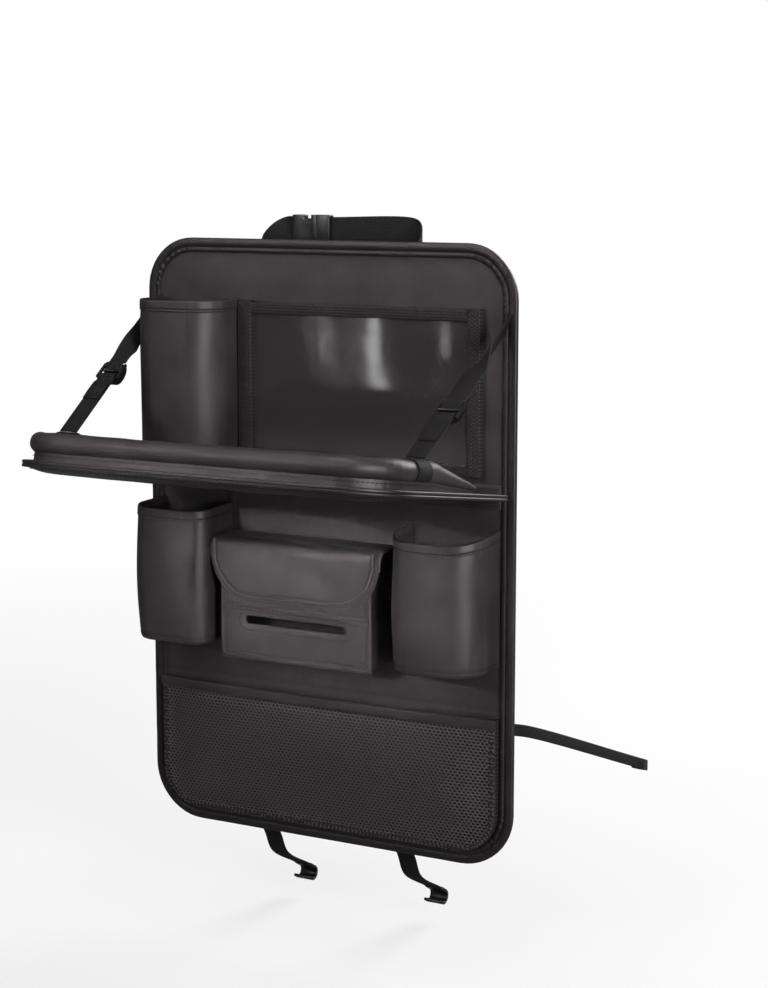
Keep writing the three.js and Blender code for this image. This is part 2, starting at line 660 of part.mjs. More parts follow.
function meshPanel() {
  const outline = pouchOutline(0, MESH_TOP);
  const inner = pouchOutline(MESH_RIM, MESH_TOP);
  const half = inner[0][0];
  const low = BINDING_WIDTH + MESH_MARGIN + MESH_RIM;
  const wide = (2 * half) / (MESH_COLUMNS + 0.5);
  const tall = (MESH_TOP - MESH_BINDING - low) / MESH_ROWS;
  const holes = [];
  for (let row = 0; row < MESH_ROWS; row += 1) {
    for (let column = 0; column < MESH_COLUMNS; column += 1) {
      const x = -half + wide * (column + (row % 2 ? 1 : 0.5));
      const z = low + tall * (row + 0.5);
      const aside = Math.max(0, Math.abs(x) - half + FOOT_RADIUS);
      const corner = Math.hypot(aside, Math.max(0, low + FOOT_RADIUS - z));
      if (corner < FOOT_RADIUS - wide * 0.35) {
        const a = (wide - MESH_THREAD) / 2;
        const b = (tall - MESH_THREAD * 0.6) / 2;
        holes.push([[x - a, z], [x, z - b], [x + a, z], [x, z + b]]);
      }
    }
  }
  return standing(outline, SEAM - MESH_POUCH - SEWN_GAP, MESH_SHEET, holes);
}

function meshBinding() {
  const back = SEAM - MESH_POUCH - SEWN_GAP;
  const face = back - MESH_SHEET - SEWN_GAP;
  const top = MESH_TOP + BAND_RISE;
  const section = [
    [face, top - MESH_BINDING], [face, MESH_TOP + SEWN_GAP], [back, MESH_TOP + SEWN_GAP],
    [back, top], [face - BAND_PROUD, top], [face - BAND_PROUD - 0.4, top - MESH_BINDING / 2],
    [face - BAND_PROUD, top - MESH_BINDING],
  ];
  const half = PANEL_WIDTH / 2 - BINDING_WIDTH - MESH_MARGIN;
  return slab(section, 2 * half).rotateZ(Math.PI / 2).rotateY(Math.PI / 2).translate(-half, 0, 0);
}

const UPRIGHT = vec(0, 0, 1);

// A headrest strap: sewn flat on the panel's rear, round one post and along behind both.
function headrestStrap(outer, end) {
  const sewn = Math.sign(outer) * HEADREST_SEWN;
  const reach = (inward, y, share) => vec(outer - sewn * inward, y,
    THREE.MathUtils.lerp(HEADREST_TAIL, HEADREST_LEVEL, share));
  const points = [
    reach(1, STRAP_BACK, 0), reach(0.7, STRAP_BACK, 0), reach(0.54, STRAP_BACK, 0.01),
    reach(0.38, STRAP_BACK + HEADREST_REACH / 60, 0.02), reach(0.12, STRAP_BACK + HEADREST_REACH / 6, 0.2),
    reach(0, HEADREST_REACH * 0.45, 0.55), reach(0.1, HEADREST_REACH * 0.82, 0.86),
    reach(0.3, HEADREST_REACH, 1), vec(end, HEADREST_REACH, HEADREST_LEVEL),
  ];
  return strap(points, HEADREST_BAND, HEADREST_SHEET, UPRIGHT, 30);
}

const buckleBox = (x0, x1, height, depth) => box(
  x0, x1,
  HEADREST_REACH - depth / 2, HEADREST_REACH + depth / 2,
  HEADREST_LEVEL - height / 2, HEADREST_LEVEL + height / 2,
);

function webSlot(x0, x1) {
  return buckleBox(x0, x1, HEADREST_BAND + 2 * PRONG_CLEAR, HEADREST_SHEET + 2 * PRONG_CLEAR);
}

function buckleSocket() {
  const right = BUCKLE_LEFT + SOCKET_LENGTH;
  const body = buckleBox(BUCKLE_LEFT, right, BUCKLE_HEIGHT, BUCKLE_DEPTH);
  const deep = right - PRONG_LENGTH - PRONG_CLEAR;
  const mouth = buckleBox(deep, right + 1, BUCKLE_HEIGHT - 2 * BUCKLE_SIDE, BUCKLE_DEPTH - 2 * BUCKLE_FACE);
  const notch = (z) => box(
    right - BUCKLE_NOTCH.far, right - BUCKLE_NOTCH.near,
    HEADREST_REACH - BUCKLE_DEPTH, HEADREST_REACH + BUCKLE_DEPTH,
    z - BUCKLE_NOTCH.depth, z + BUCKLE_NOTCH.depth,
  );
  const high = HEADREST_LEVEL + BUCKLE_HEIGHT / 2;
  const low = HEADREST_LEVEL - BUCKLE_HEIGHT / 2;
  return cut(body, mouth, notch(high), notch(low), webSlot(BUCKLE_LEFT - 1, BUCKLE_LEFT + BUCKLE_SLOT));
}

function bucklePlug() {
  const left = BUCKLE_LEFT + SOCKET_LENGTH + SEWN_GAP;
  const right = left + PLUG_LENGTH;
  const body = buckleBox(left, right, BUCKLE_HEIGHT, BUCKLE_DEPTH - 1);
  const room = BUCKLE_HEIGHT - 2 * (BUCKLE_SIDE + PRONG_CLEAR);
  const thick = BUCKLE_DEPTH - 2 * (BUCKLE_FACE + PRONG_CLEAR);
  const prong = (centre) => buckleBox(left - PRONG_LENGTH, left + 1, room * PRONG_SHARE, thick)
    .translate(0, 0, centre);
  const aside = (room * (1 - PRONG_SHARE)) / 2;
  const pronged = joined(body, prong(0), prong(aside), prong(-aside));
  return cut(pronged, webSlot(right - BUCKLE_SLOT, right + 1));
}

// The points a side strap follows: sewn flat, round the panel's edge and back to the seat.
function sideLine(side) {
  const at = (inward, rise, drop) => vec(
    side * (PANEL_WIDTH / 2 - inward * SIDE_SEWN),
    STRAP_BACK + rise * SIDE_RISE,
    SIDE_LEVEL - drop * SIDE_RISE,
  );
  return [
    at(1, 0, 0), at(0.7, 0, 0), at(0.54, 0, 0), at(0.38, 0.08, 0), at(0.1, 0.3, 0.05), at(-0.06, 1, 0.25),
    vec(side * SIDE_END.x, SIDE_END.y, SIDE_END.z),
  ];
}

// The points a foot strap follows: sewn flat, off the panel's foot and down to the seat.
function footLine(side) {
  const at = (share, rise) => vec(side * FOOT_STRAP_X, STRAP_BACK + rise * FOOT_RISE, FOOT_STRAP_SEWN * share);
  return [
    at(1, 0), at(0.76, 0), at(0.6, 0), at(0.4, 0.06), at(0.14, 0.25), at(-0.29, 0.62), at(-0.81, 1),
    vec(side * FOOT_STRAP_X, FOOT_END.y, FOOT_END.z),
  ];
}

// A bent plastic hook that carries on from the end of a strap's line; across is the strap's width.
function hook(line, across, width) {
  const mid = HOOK_BEND;
  const half = HOOK_THICKNESS / 2;
  const outline = [
    [0, -half], [HOOK_SHANK, -half], ...arc(HOOK_SHANK, mid, mid + half, -90, 90, 12),
    [HOOK_SHANK - HOOK_RETURN, 2 * mid + half], [HOOK_SHANK - HOOK_RETURN, 2 * mid - half],
    ...arc(HOOK_SHANK, mid, mid - half, 90, -90, 12), [0, half],
  ];
  const [before, end] = line.slice(-2);
  const u = end.clone().sub(before).normalize();
  const v = across.clone().cross(u).normalize();
  const frame = new THREE.Matrix4().makeBasis(u, v, across);
  frame.setPosition(end.clone().addScaledVector(u, SEWN_GAP));
  return slab(outline, width).translate(0, 0, -width / 2).applyMatrix4(frame);
}

const organizer = new THREE.Group();
const upper = new THREE.Group();
const tray = new THREE.Group();
organizer.add(upper);
upper.position.set(0, 0, -PANEL_HEIGHT / 2);
upper.add(tray);
tray.position.set(0, HINGE_Y, HINGE_HEIGHT);
tray.rotation.x = -TILT;

function place(group, name, geometry, material) {
  const mesh = new THREE.Mesh(geometry, material);
  mesh.name = name;
  group.add(mesh);
}

place(upper, 'back_panel', backPanel(), LEATHER);
place(upper, 'edge_binding', edgeBinding(), BINDING);
place(upper, 'upper_bottle_pocket', pocket(UPPER_POCKET), LEATHER);
place(upper, 'cup_pocket', pocket(CUP_POCKET), LEATHER);
place(upper, 'lower_bottle_pocket', pocket(LOWER_POCKET), LEATHER);
place(upper, 'tablet_window', tabletWindow(), CLEAR);
place(upper, 'tablet_left_band', sideBand(FILM_LEFT, LEFT_BAND, -1), BINDING);
place(upper, 'tablet_right_band', sideBand(FILM_RIGHT, RIGHT_BAND, 1), BINDING);
place(upper, 'tablet_top_band', topBand(), BINDING);
place(upper, 'tablet_bottom_band', bottomBand(), BINDING);
place(upper, 'tray_hinge_strip', hingeStrip(), LEATHER);
place(upper, 'tissue_box', tissueBox(), LEATHER);
place(upper, 'tissue_slot_trim', slotTrim(), BINDING);
place(upper, 'tissue_flap', tissueFlap(), LEATHER);
place(upper, 'tissue_flap_piping', flapPiping(), BINDING);
place(upper, 'mesh_gusset', meshGusset(), BINDING);
place(upper, 'mesh_panel', meshPanel(), NET);
place(upper, 'mesh_top_binding', meshBinding(), BINDING);
place(upper, 'headrest_strap_left', headrestStrap(BAND_LEFT, BUCKLE_LEFT + BUCKLE_SLOT - 0.5), WEB);
place(upper, 'headrest_strap_right',
  headrestStrap(BAND_RIGHT, BUCKLE_LEFT + SOCKET_LENGTH + SEWN_GAP + PLUG_LENGTH - BUCKLE_SLOT + 0.5), WEB);
place(upper, 'buckle_socket', buckleSocket(), PLASTIC);
place(upper, 'buckle_plug', bucklePlug(), PLASTIC);
place(tray, 'tray_board', trayBoard(), LEATHER);
place(tray, 'tray_lip', trayLip(), BINDING);
place(tray, 'tray_rim_pad', trayRim(), LEATHER);

for (const [word, side] of [['left', -1], ['right', 1]]) {
  place(tray, `strap_patch_${word}`, rimPatch(side), WEB);
  place(upper, `tray_strap_${word}`, trayStrap(side, SLIDER_PLACE[word]), WEB);
  place(upper, `strap_slider_${word}`, slider(side, SLIDER_PLACE[word]), PLASTIC);
  place(upper, `side_strap_${word}`, strap(sideLine(side), SIDE_BAND, HEADREST_SHEET, UPRIGHT, 26), WEB);
  place(upper, `side_hook_${word}`,
    hook(sideLine(side), UPRIGHT.clone().multiplyScalar(side), SIDE_BAND), PLASTIC);
  place(upper, `foot_strap_${word}`, strap(footLine(side), WEBBING, HEADREST_SHEET, vec(1, 0, 0), 22), WEB);
  place(upper, `foot_hook_${word}`, hook(footLine(side), vec(-1, 0, 0), WEBBING), PLASTIC);
}

export default organizer;
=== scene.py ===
"""Seat back organizer: a leather-look panel with pockets, a folding tray, a window and a net pouch."""

import logging
import math
from dataclasses import dataclass, field
from enum import Enum

import bmesh
import bpy
import numpy as np
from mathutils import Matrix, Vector


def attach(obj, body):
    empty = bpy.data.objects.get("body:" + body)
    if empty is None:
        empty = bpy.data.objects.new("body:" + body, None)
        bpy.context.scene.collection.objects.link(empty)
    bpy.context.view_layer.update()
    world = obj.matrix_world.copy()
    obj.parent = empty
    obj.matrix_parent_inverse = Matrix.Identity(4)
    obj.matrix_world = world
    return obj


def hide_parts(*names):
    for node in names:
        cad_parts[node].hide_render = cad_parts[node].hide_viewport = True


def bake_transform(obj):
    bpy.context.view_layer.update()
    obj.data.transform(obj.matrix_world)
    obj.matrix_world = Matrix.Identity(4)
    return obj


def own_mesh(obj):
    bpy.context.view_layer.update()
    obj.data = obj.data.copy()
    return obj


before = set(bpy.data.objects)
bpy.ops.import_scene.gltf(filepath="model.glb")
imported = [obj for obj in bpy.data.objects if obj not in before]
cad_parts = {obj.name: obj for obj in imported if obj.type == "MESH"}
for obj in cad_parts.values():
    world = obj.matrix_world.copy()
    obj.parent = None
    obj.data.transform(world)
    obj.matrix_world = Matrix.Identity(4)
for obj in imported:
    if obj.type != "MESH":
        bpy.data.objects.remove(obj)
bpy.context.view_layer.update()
LOG = logging.getLogger("organizer")
Array = np.ndarray
Piece = bpy.types.Object
Material = bpy.types.Material
Node = bpy.types.Node
Socket = bpy.types.NodeSocket
NodeTree = bpy.types.NodeTree

RIGHT = np.array([1.0, 0, 0])
INWARD = np.array([0, 1.0, 0])
OUTWARD = np.array([0, -1.0, 0])
UPWARD = np.array([0, 0, 1.0])
MM = 0.001
FOOT_LEVEL = 300.0
FRONT = -5.0
SEAM = -5.3
REAR = -2.4
HINGE_Y = -15.0
HINGE_HEIGHT = 366.0
TILT = math.radians(9.0)


def arc(cx: float, cy: float, radius: float, start: float, stop: float, count: int = 12) -> Array:
    """Points of an arc: centre plus radius times (cosine, sine) of evenly spaced angles.

    Args:
        cx, cy: The centre, in mm.
        radius: In mm.
        start, stop: The first and last angle, in degrees.
        count: How many steps.

    Returns:
        Points (count + 1, 2).
    """
    a = np.radians(np.linspace(start, stop, count + 1))
    return np.stack([cx + radius * np.cos(a), cy + radius * np.sin(a)], 1)


def resample(line: Array, count: int) -> Array:
    """The same line with its points evenly spaced along its length.

    Args:
        line: Points (n, k).
        count: How many points to return.

    Returns:
        Points (count, k).
    """
    run = length_along(line)
    even = np.linspace(0, run[-1], count)
    return np.stack([np.interp(even, run, line[:, k]) for k in range(line.shape[1])], 1)


def length_along(line: Array) -> Array:
    """Distance of each point of a line from its start."""
    return np.concatenate([[0.0], np.cumsum(np.linalg.norm(np.diff(line, axis=0), axis=1))])


def unit(v: Array) -> Array:
    """Vectors scaled to a length of one."""
    return v / np.maximum(np.linalg.norm(v, axis=-1, keepdims=True), 1e-9)


def heading(line: Array) -> Array:
    """The direction in which a line runs at each of its points."""
    return unit(np.gradient(line, axis=0))


def points_of(*parts: Array | float) -> Array:
    """Coordinates stretched to one shape and stacked into points."""
    return np.stack(np.broadcast_arrays(*parts), -1)


def upright(line: Array, y: Array | float) -> Array:
    """A line seen from the front, as (x, height), set at a depth."""
    return points_of(line[:, 0], y, line[:, 1])


def step(low: float, high: float, x: Array) -> Array:
    """A smooth rise from 0 at low to 1 at high: t squared times (3 - 2 t)."""
    t = np.clip((np.asarray(x, float) - low) / (high - low), 0, 1)
    return t * t * (3 - 2 * t)


def ridge(centre: float, width: float, x: Array) -> Array:
    """A bell of height 1: e to the minus of the squared distance over width."""
    return np.exp(-(((np.asarray(x, float) - centre) / width) ** 2))


def beat(run: Array, pitch: float, shift: Array | float = 0.0) -> Array:
    """A sine along a seam: of the distance over its pitch times two pi, plus a shift."""
    return np.sin(2 * math.pi * run / pitch + shift)


def ripple(a: Array, b: Array, wavelength: float, seed: int) -> Array:
    """Soft irregular waves: the mean of sines that run in random directions.

    Args:
        a, b: Two coordinates of each point, in mm.
        wavelength: Typical distance between two crests, in mm.
        seed: Chooses the directions and phases.

    Returns:
        Heights of about -1 to 1, shaped like a plus b.
    """
    draw = np.random.default_rng(seed)
    total = np.zeros(np.broadcast(a, b).shape)
    for turn, phase, scale in draw.uniform((0, 0, 0.7), (math.pi, 6.28, 1.5), (7, 3)):
        k = 2 * math.pi * scale / wavelength
        total = total + np.sin(k * (a * math.cos(turn) + b * math.sin(turn)) + phase)
    return total / 3.2


def spline(points: Array, count: int) -> Array:
    """A centripetal curve through points, the same that the solid's straps follow.

    Args:
        points: Points (n, 3).
        count: How many points to return.

    Returns:
        Points (count, 3), evenly spaced in the curve's own parameter.
    """
    full = np.concatenate([[2 * points[0] - points[1]], points, [2 * points[-1] - points[-2]]])
    t = np.linspace(0, len(points) - 1, count)
    i = np.minimum(t.astype(int), len(points) - 2)
    w = (t - i)[:, None]
    p = [full[i + k] for k in range(4)]
    d = [np.maximum(np.linalg.norm(p[k + 1] - p[k], axis=1, keepdims=True) ** 0.5, 1e-4) for k in range(3)]
    m1 = (p[1] - p[0]) / d[0] - (p[2] - p[0]) / (d[0] + d[1]) + (p[2] - p[1]) / d[1]
    m2 = (p[2] - p[1]) / d[1] - (p[3] - p[1]) / (d[1] + d[2]) + (p[3] - p[2]) / d[2]
    m1, m2 = m1 * d[1], m2 * d[1]
    a = 2 * p[1] - 2 * p[2] + m1 + m2
    b = -3 * p[1] + 3 * p[2] - 2 * m1 - m2
    return ((a * w + b) * w + m1) * w + p[1]


def rounded_half(reach: Array, far: float, radius: float, half: float) -> Array:
    """Half width of a shape with rounded far corners at each distance from its near edge.

    Args:
        reach: Distances, in mm.
        far: Where the shape ends.
        radius: Of the far corners.
        half: Half width before the corners.

    Returns:
        Half minus radius plus the root of (radius squared minus depth into the corner squared).
    """
    deep = np.clip(reach - (far - radius), 0, radius)
    return half - radius + np.sqrt(np.maximum(radius**2 - deep**2, 0))


def corner_rows(low: float, high: float, low_radius: float, high_radius: float, count: int) -> Array:
    """Levels from low to high that crowd together where rounded corners end.

    Args:
        low, high: The first and the last level, in mm.
        low_radius, high_radius: Of the corners there.
        count: How many levels lie between the corners.

    Returns:
        The levels: each corner's follow a sine, and the others are evenly spaced.
    """
    ends = 14
    a = np.sin(np.linspace(0, math.pi / 2, ends))
    first = low + low_radius * (1 - a[::-1]) if low_radius else np.array([low])
    last = high - high_radius * (1 - a) if high_radius else np.array([high])
    middle = np.linspace(first[-1], last[0], count)[1:-1]
    return np.concatenate([first, middle, last])


def cradle(left: float, right: float, foot: float, top: float, radii: tuple, steps: int,
           count: int) -> Array:
    """A U with rounded corners, from its upper left end down and round to its upper right end.

    Args:
        left, right, foot, top: Its extent, in mm.
        radii: Of the left and the right corner.
        steps: How many steps each corner has.
        count: How many points to return.

    Returns:
        Points (count, 2), evenly spaced.
    """
    a, b = radii
    return resample(np.concatenate([
        [[left, top]], arc(left + a, foot + a, a, 180, 270, steps),
        arc(right - b, foot + b, b, 270, 360, steps), [[right, top]]]), count)


def block_section(width: float, depth: float, radius: float, count: int = 4) -> Array:
    """Outline of a rounded rectangle, centred.

    Args:
        width, depth: Its size, in mm.
        radius, count: Of each corner, and how many steps it has.

    Returns:
        Points (n, 2) as (across, up).
    """
    x, y = width / 2 - radius, depth / 2 - radius
    corners = [(x, y, 0), (-x, y, 90), (-x, -y, 180), (x, -y, 270)]
    return np.concatenate([arc(cx, cy, radius, a, a + 90, count) for cx, cy, a in corners])


def quads_between(rows: int, columns: int, closed: bool = False) -> Array:
    """Faces between neighbouring rings of points that are numbered ring by ring.

    Args:
        rows, columns: How many rings there are, and points in each.
        closed: Whether the last ring joins the first.

    Returns:
        Corner indices (faces, 4).
    """
    i, j = np.meshgrid(np.arange(rows if closed else rows - 1), np.arange(columns), indexing="ij")
    i2, j2 = (i + 1) % rows, (j + 1) % columns
    quads = np.stack([i * columns + j, i * columns + j2, i2 * columns + j2, i2 * columns + j], -1)
    return quads.reshape(-1, 4)


def link(name: str, data: bpy.types.ID) -> Piece:
    """Puts data in the scene.

    Args:
        name: Of the new object.
        data: What it shows.

    Returns:
        The object.
    """
    made = bpy.data.objects.new(name, data)
    bpy.context.scene.collection.objects.link(made)
    return made


class Stitch(Enum):
    """Kinds of sewing: distance between stitches, their length and their radius, in mm."""

    LEATHER = (4.2, 3.0, 0.42)
    BAND = (3.4, 2.4, 0.34)
    BOX = (3.4, 2.4, 0.36)
    POUCH = (3.8, 2.6, 0.36)
    MOUTH = (3.6, 2.5, 0.34)
    STRAP = (3.0, 2.2, 0.36)
    PATCH = (2.6, 1.9, 0.3)


@dataclass
class Skin:
    """Gathers grids of points, in mm with heights from the panel's foot, into one mesh.

    Attributes:
        name: The finished piece's name.
        points, faces, uvs, tones, slots: Blocks that each call adds to.
        count: How many points there are so far.
        sewn: Whether it has stitches.
    """

    name: str
    points: list = field(default_factory=list)
    faces: list = field(default_factory=list)
    uvs: list = field(default_factory=list)
    tones: list = field(default_factory=list)
    slots: list = field(default_factory=list)
    count: int = 0
    sewn: bool = False

    def add(self, points: Array, faces: list, uv: Array, tone: Array, slot: int) -> None:
        """Adds points and faces.

        Args:
            points: Points (n, 3).
            faces: Arrays of corner indices, one array for each number of corners.
            uv: Coordinates (n, 2) in mm along and across the piece.
            tone: How deep in a seam each point is (n,), 0 to 1.
            slot: Which of the piece's materials the faces take.
        """
        self.points.append(points.reshape(-1, 3))
        self.uvs.append(uv.reshape(-1, 2))
        self.tones.append(np.broadcast_to(tone, points.shape[:-1]).reshape(-1))
        for block in faces:
            self.faces.append(block + self.count)
            self.slots.append(np.full(len(block), slot))
        self.count += points.reshape(-1, 3).shape[0]

    def rings(self, rings: Array, uv: Array, tone: Array = 0.0, slot: int = 0, closed: bool = False,
              caps: str = "fan") -> None:
        """A skin over rings of points, closed round each ring.

        Args:
            rings: Points (rows, columns, 3).
            uv: Coordinates (rows, columns, 2).
            tone: Seam depth, shaped like the rings or one number.
            slot: Material index.
            closed: Whether the last row joins the first.
            caps: "fan" closes each end with one face, "strip" with a strip between the ring's two halves.
        """
        rows, columns = rings.shape[:2]
        faces = [quads_between(rows, columns, closed)]
        if not closed and caps == "fan":
            faces.append(np.arange(columns)[::-1][None])
            faces.append((rows - 1) * columns + np.arange(columns)[None])
        if not closed and caps == "strip":
            k = np.arange(columns // 2 - 1)
            strip = np.stack([k, columns - 1 - k, columns - 2 - k, k + 1], 1)
            faces += [strip, strip[:, ::-1] + (rows - 1) * columns]
        self.add(rings, faces, uv, tone, slot)

    def shell(self, outer: Array, inner: Array, uv: Array, tone: Array = 0.0, slot: int = 0) -> None:
        """A sheet with thickness and rounded edges.

        Each edge row or column gets a neighbour half a thickness further out, drawn in towards the
        sheet's middle, so that the edge turns over instead of breaking off.

        Args:
            outer, inner: The two faces (rows, columns, 3).
            uv: Coordinates (rows, columns, 2).
            tone: Seam depth.
            slot: Material index.
        """
        tone = np.broadcast_to(tone, outer.shape[:2])
        for axis in (0, 1):
            outer, inner, uv, tone = self._rolled(outer, inner, uv, tone, axis)
        ring = np.concatenate([outer, inner[:, ::-1]], 1)
        both = np.concatenate([uv, uv[:, ::-1]], 1)
        self.rings(ring, both, np.concatenate([tone, tone[:, ::-1]], 1), slot, caps="strip")

    @staticmethod
    def _rolled(outer: Array, inner: Array, uv: Array, tone: Array, axis: int) -> tuple:
        """Adds the turned-over edge at both ends of one axis: a half circle between the two sides.

        Args:
            outer, inner: The sides' points.
            uv, tone: Their metres of cloth and their seam darkening.
            axis: 0 for down the sheet, 1 for across it.

        Returns:
            The four arrays, longer by two rows at both ends.
        """
        outer, inner = np.moveaxis(outer, axis, 0), np.moveaxis(inner, axis, 0)
        uv, tone = np.moveaxis(uv, axis, 0), np.moveaxis(tone, axis, 0)
        ends = []
        for edge, near in ((0, 1), (-1, -2)):
            middle = (outer[edge] + inner[edge]) / 2
            half = (outer[edge] - inner[edge]) / 2
            out = unit(outer[edge] - outer[near]) * np.linalg.norm(half, axis=-1, keepdims=True)
            ends.append([(middle + half * w + out * math.sqrt(1 - w * w),
                          middle - half * w + out * math.sqrt(1 - w * w)) for w in (0.8, 0.3)])
        start, stop = ends
        outer = np.stack([start[1][0], start[0][0], *outer, stop[0][0], stop[1][0]])
        inner = np.stack([start[1][1], start[0][1], *inner, stop[0][1], stop[1][1]])
        uv = np.stack([uv[0], uv[0], *uv, uv[-1], uv[-1]])
        tone = np.stack([tone[0], tone[0], *tone, tone[-1], tone[-1]])
        return tuple(np.moveaxis(a, 0, axis) for a in (outer, inner, uv, tone))

    def sweep(self, path: Array, u: Array, v: Array, section: Array, swell: Array | float = 1.0,
              tone: Array | float = 0.0, slot: int = 0, closed: bool = False) -> None:
        """Carries a section along a path: point = path + u times across + v times up.

        Args:
            path: Points (n, 3).
            u, v: The section's two directions at each point, (n, 3) or (3,).
            section: Outline (m, 2), or one outline for each point (n, m, 2).
            swell: Scale of the section, (n, m) or (n, 1) or one number.
            tone: Seam depth.
            slot: Material index.
            closed: Whether the path closes.
        """
        n = len(path)
        section = np.broadcast_to(section, (n, *section.shape[-2:])) * np.asarray(swell)[..., None]
        u, v = np.broadcast_to(u, path.shape), np.broadcast_to(v, path.shape)
        rings = path[:, None] + section[..., :1] * u[:, None] + section[..., 1:] * v[:, None]
        along = np.broadcast_to(length_along(path)[:, None], rings.shape[:2])
        uv = np.stack([along, section[..., 0]], -1)
        self.rings(rings, uv, tone, slot, closed)

    def stitches(self, line: Array, normal: Array, stitch: Stitch = Stitch.LEATHER) -> None:
        """A row of sewn stitches, each a small spindle that dips into the sheet at both ends.

        A point is the centre plus the cosine of its angle along the spindle times half its length,
        plus the sine times the radius. The thread is the piece's second material.

        Args:
            line: Points (n, 3) that the seam follows.
            normal: Out of the sheet, (n, 3) or (3,).
            stitch: The kind of sewing.
        """
        pitch, long, thick = stitch.value
        run = length_along(line)
        centres = np.arange(pitch / 2, run[-1] - pitch / 4, pitch)
        if not len(centres):
            return
        normal = np.broadcast_to(normal, line.shape)
        at = np.stack([np.interp(centres, run, line[:, k]) for k in range(3)], 1)
        along = unit(np.stack([np.interp(centres, run, g) for g in np.gradient(line, axis=0).T], 1))
        up = np.stack([np.interp(centres, run, normal[:, k]) for k in range(3)], 1)
        up = unit(up - along * (up * along).sum(1, keepdims=True))
        side = np.cross(along, up)
        rings, sides = 4, 5
        fi = np.radians([16, 64, 116, 164])[None, :, None, None]
        psi = (2 * math.pi * np.arange(sides) / sides)[None, None, :, None]
        a, n, s = (w[:, None, None] for w in (along, up, side))
        points = at[:, None, None] + a * np.cos(fi) * long / 2 + n * (np.sin(fi) - 0.45) * thick
        points = points + (n * np.cos(psi) + s * np.sin(psi)) * np.sin(fi) * thick
        ends = np.stack([np.arange(sides)[::-1], (rings - 1) * sides + np.arange(sides)])
        shift = (np.arange(len(centres)) * rings * sides)[:, None, None]
        faces = [(quads_between(rings, sides) + shift).reshape(-1, 4), (ends + shift).reshape(-1, sides)]
        self.add(points, faces, np.zeros((*points.shape[:-1], 2)), 0.0, 1)
        self.sewn = True

    def cord(self, path: Array, radius: float, pitch: float, puff: float, tone: float) -> None:
        """Piping: a circle carried along a path, puckered in step with its seam.

        Args:
            path: Points (n, 3) in a plane that faces forward.
            radius: Of the cord, in mm.
            pitch: Distance between two puckers, in mm.
            puff: How much a pucker swells it, as a share.
            tone: Seam depth.
        """
        swell = 1 + puff * beat(length_along(path)[:, None], pitch)
        aside = np.cross(heading(path), INWARD)
        self.sweep(path, INWARD, aside, arc(0, 0, radius, 0, 330, 11), swell, tone)

    def finish(self, materials: list, sharp: float = 42.0) -> Piece:
        """Turns what was gathered into an object at the origin.

        Args:
            materials: One for each material index.
            sharp: Edges that turn by more than this many degrees stay crisp.

        Returns:
            The object, in metres.
        """
        points = np.concatenate(self.points).copy()
        points[:, 2] -= FOOT_LEVEL
        mesh = bpy.data.meshes.new(self.name)
        mesh.from_pydata(points * MM, [], [f for block in self.faces for f in block.tolist()])
        corner = np.empty(len(mesh.loops), np.int32)
        mesh.loops.foreach_get("vertex_index", corner)
        uv = np.concatenate(self.uvs)[corner] * MM
        mesh.uv_layers.new(name="UVMap").uv.foreach_set("vector", uv.astype(np.float32).ravel())
        mesh.attributes.new("seam", "FLOAT", "POINT").data.foreach_set(
            "value", np.concatenate(self.tones).astype(np.float32))
        mesh.polygons.foreach_set("material_index", np.concatenate(self.slots).astype(np.int32))
        work = bmesh.new()
        work.from_mesh(mesh)
        bmesh.ops.recalc_face_normals(work, faces=work.faces)
        work.to_mesh(mesh)
        work.free()
        mesh.shade_smooth()
        mesh.set_sharp_from_angle(angle=math.radians(sharp))
        for material in materials:
            mesh.materials.append(material)
        return link(self.name, mesh)


def moulded_copy(node: str, name: str, material: Material, edge: float) -> Piece:
    """A CAD node's shape as a new piece with rounded edges, as moulded plastic has.

    Args:
        node: The CAD node.
        name: The new piece's name.
        material: Its finish.
        edge: Radius of the edges, in mm.

    Returns:
        The new piece.
    """
    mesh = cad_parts[node].data.copy()
    mesh.name = name
    mesh.materials.clear()
    mesh.materials.append(material)
    work = bmesh.new()
    work.from_mesh(mesh)
    bmesh.ops.remove_doubles(work, verts=work.verts, dist=1e-6)
    bmesh.ops.dissolve_limit(work, angle_limit=math.radians(2), verts=work.verts, edges=work.edges)
    work.to_mesh(mesh)
    work.free()
    piece = link(name, mesh)
    bevel = piece.modifiers.new("edge", "BEVEL")
    bevel.width = edge * MM
    bevel.segments = 3
    bevel.limit_method = "ANGLE"
    bevel.angle_limit = math.radians(35)
    bevel.harden_normals = False
    mesh.shade_smooth()
    return piece


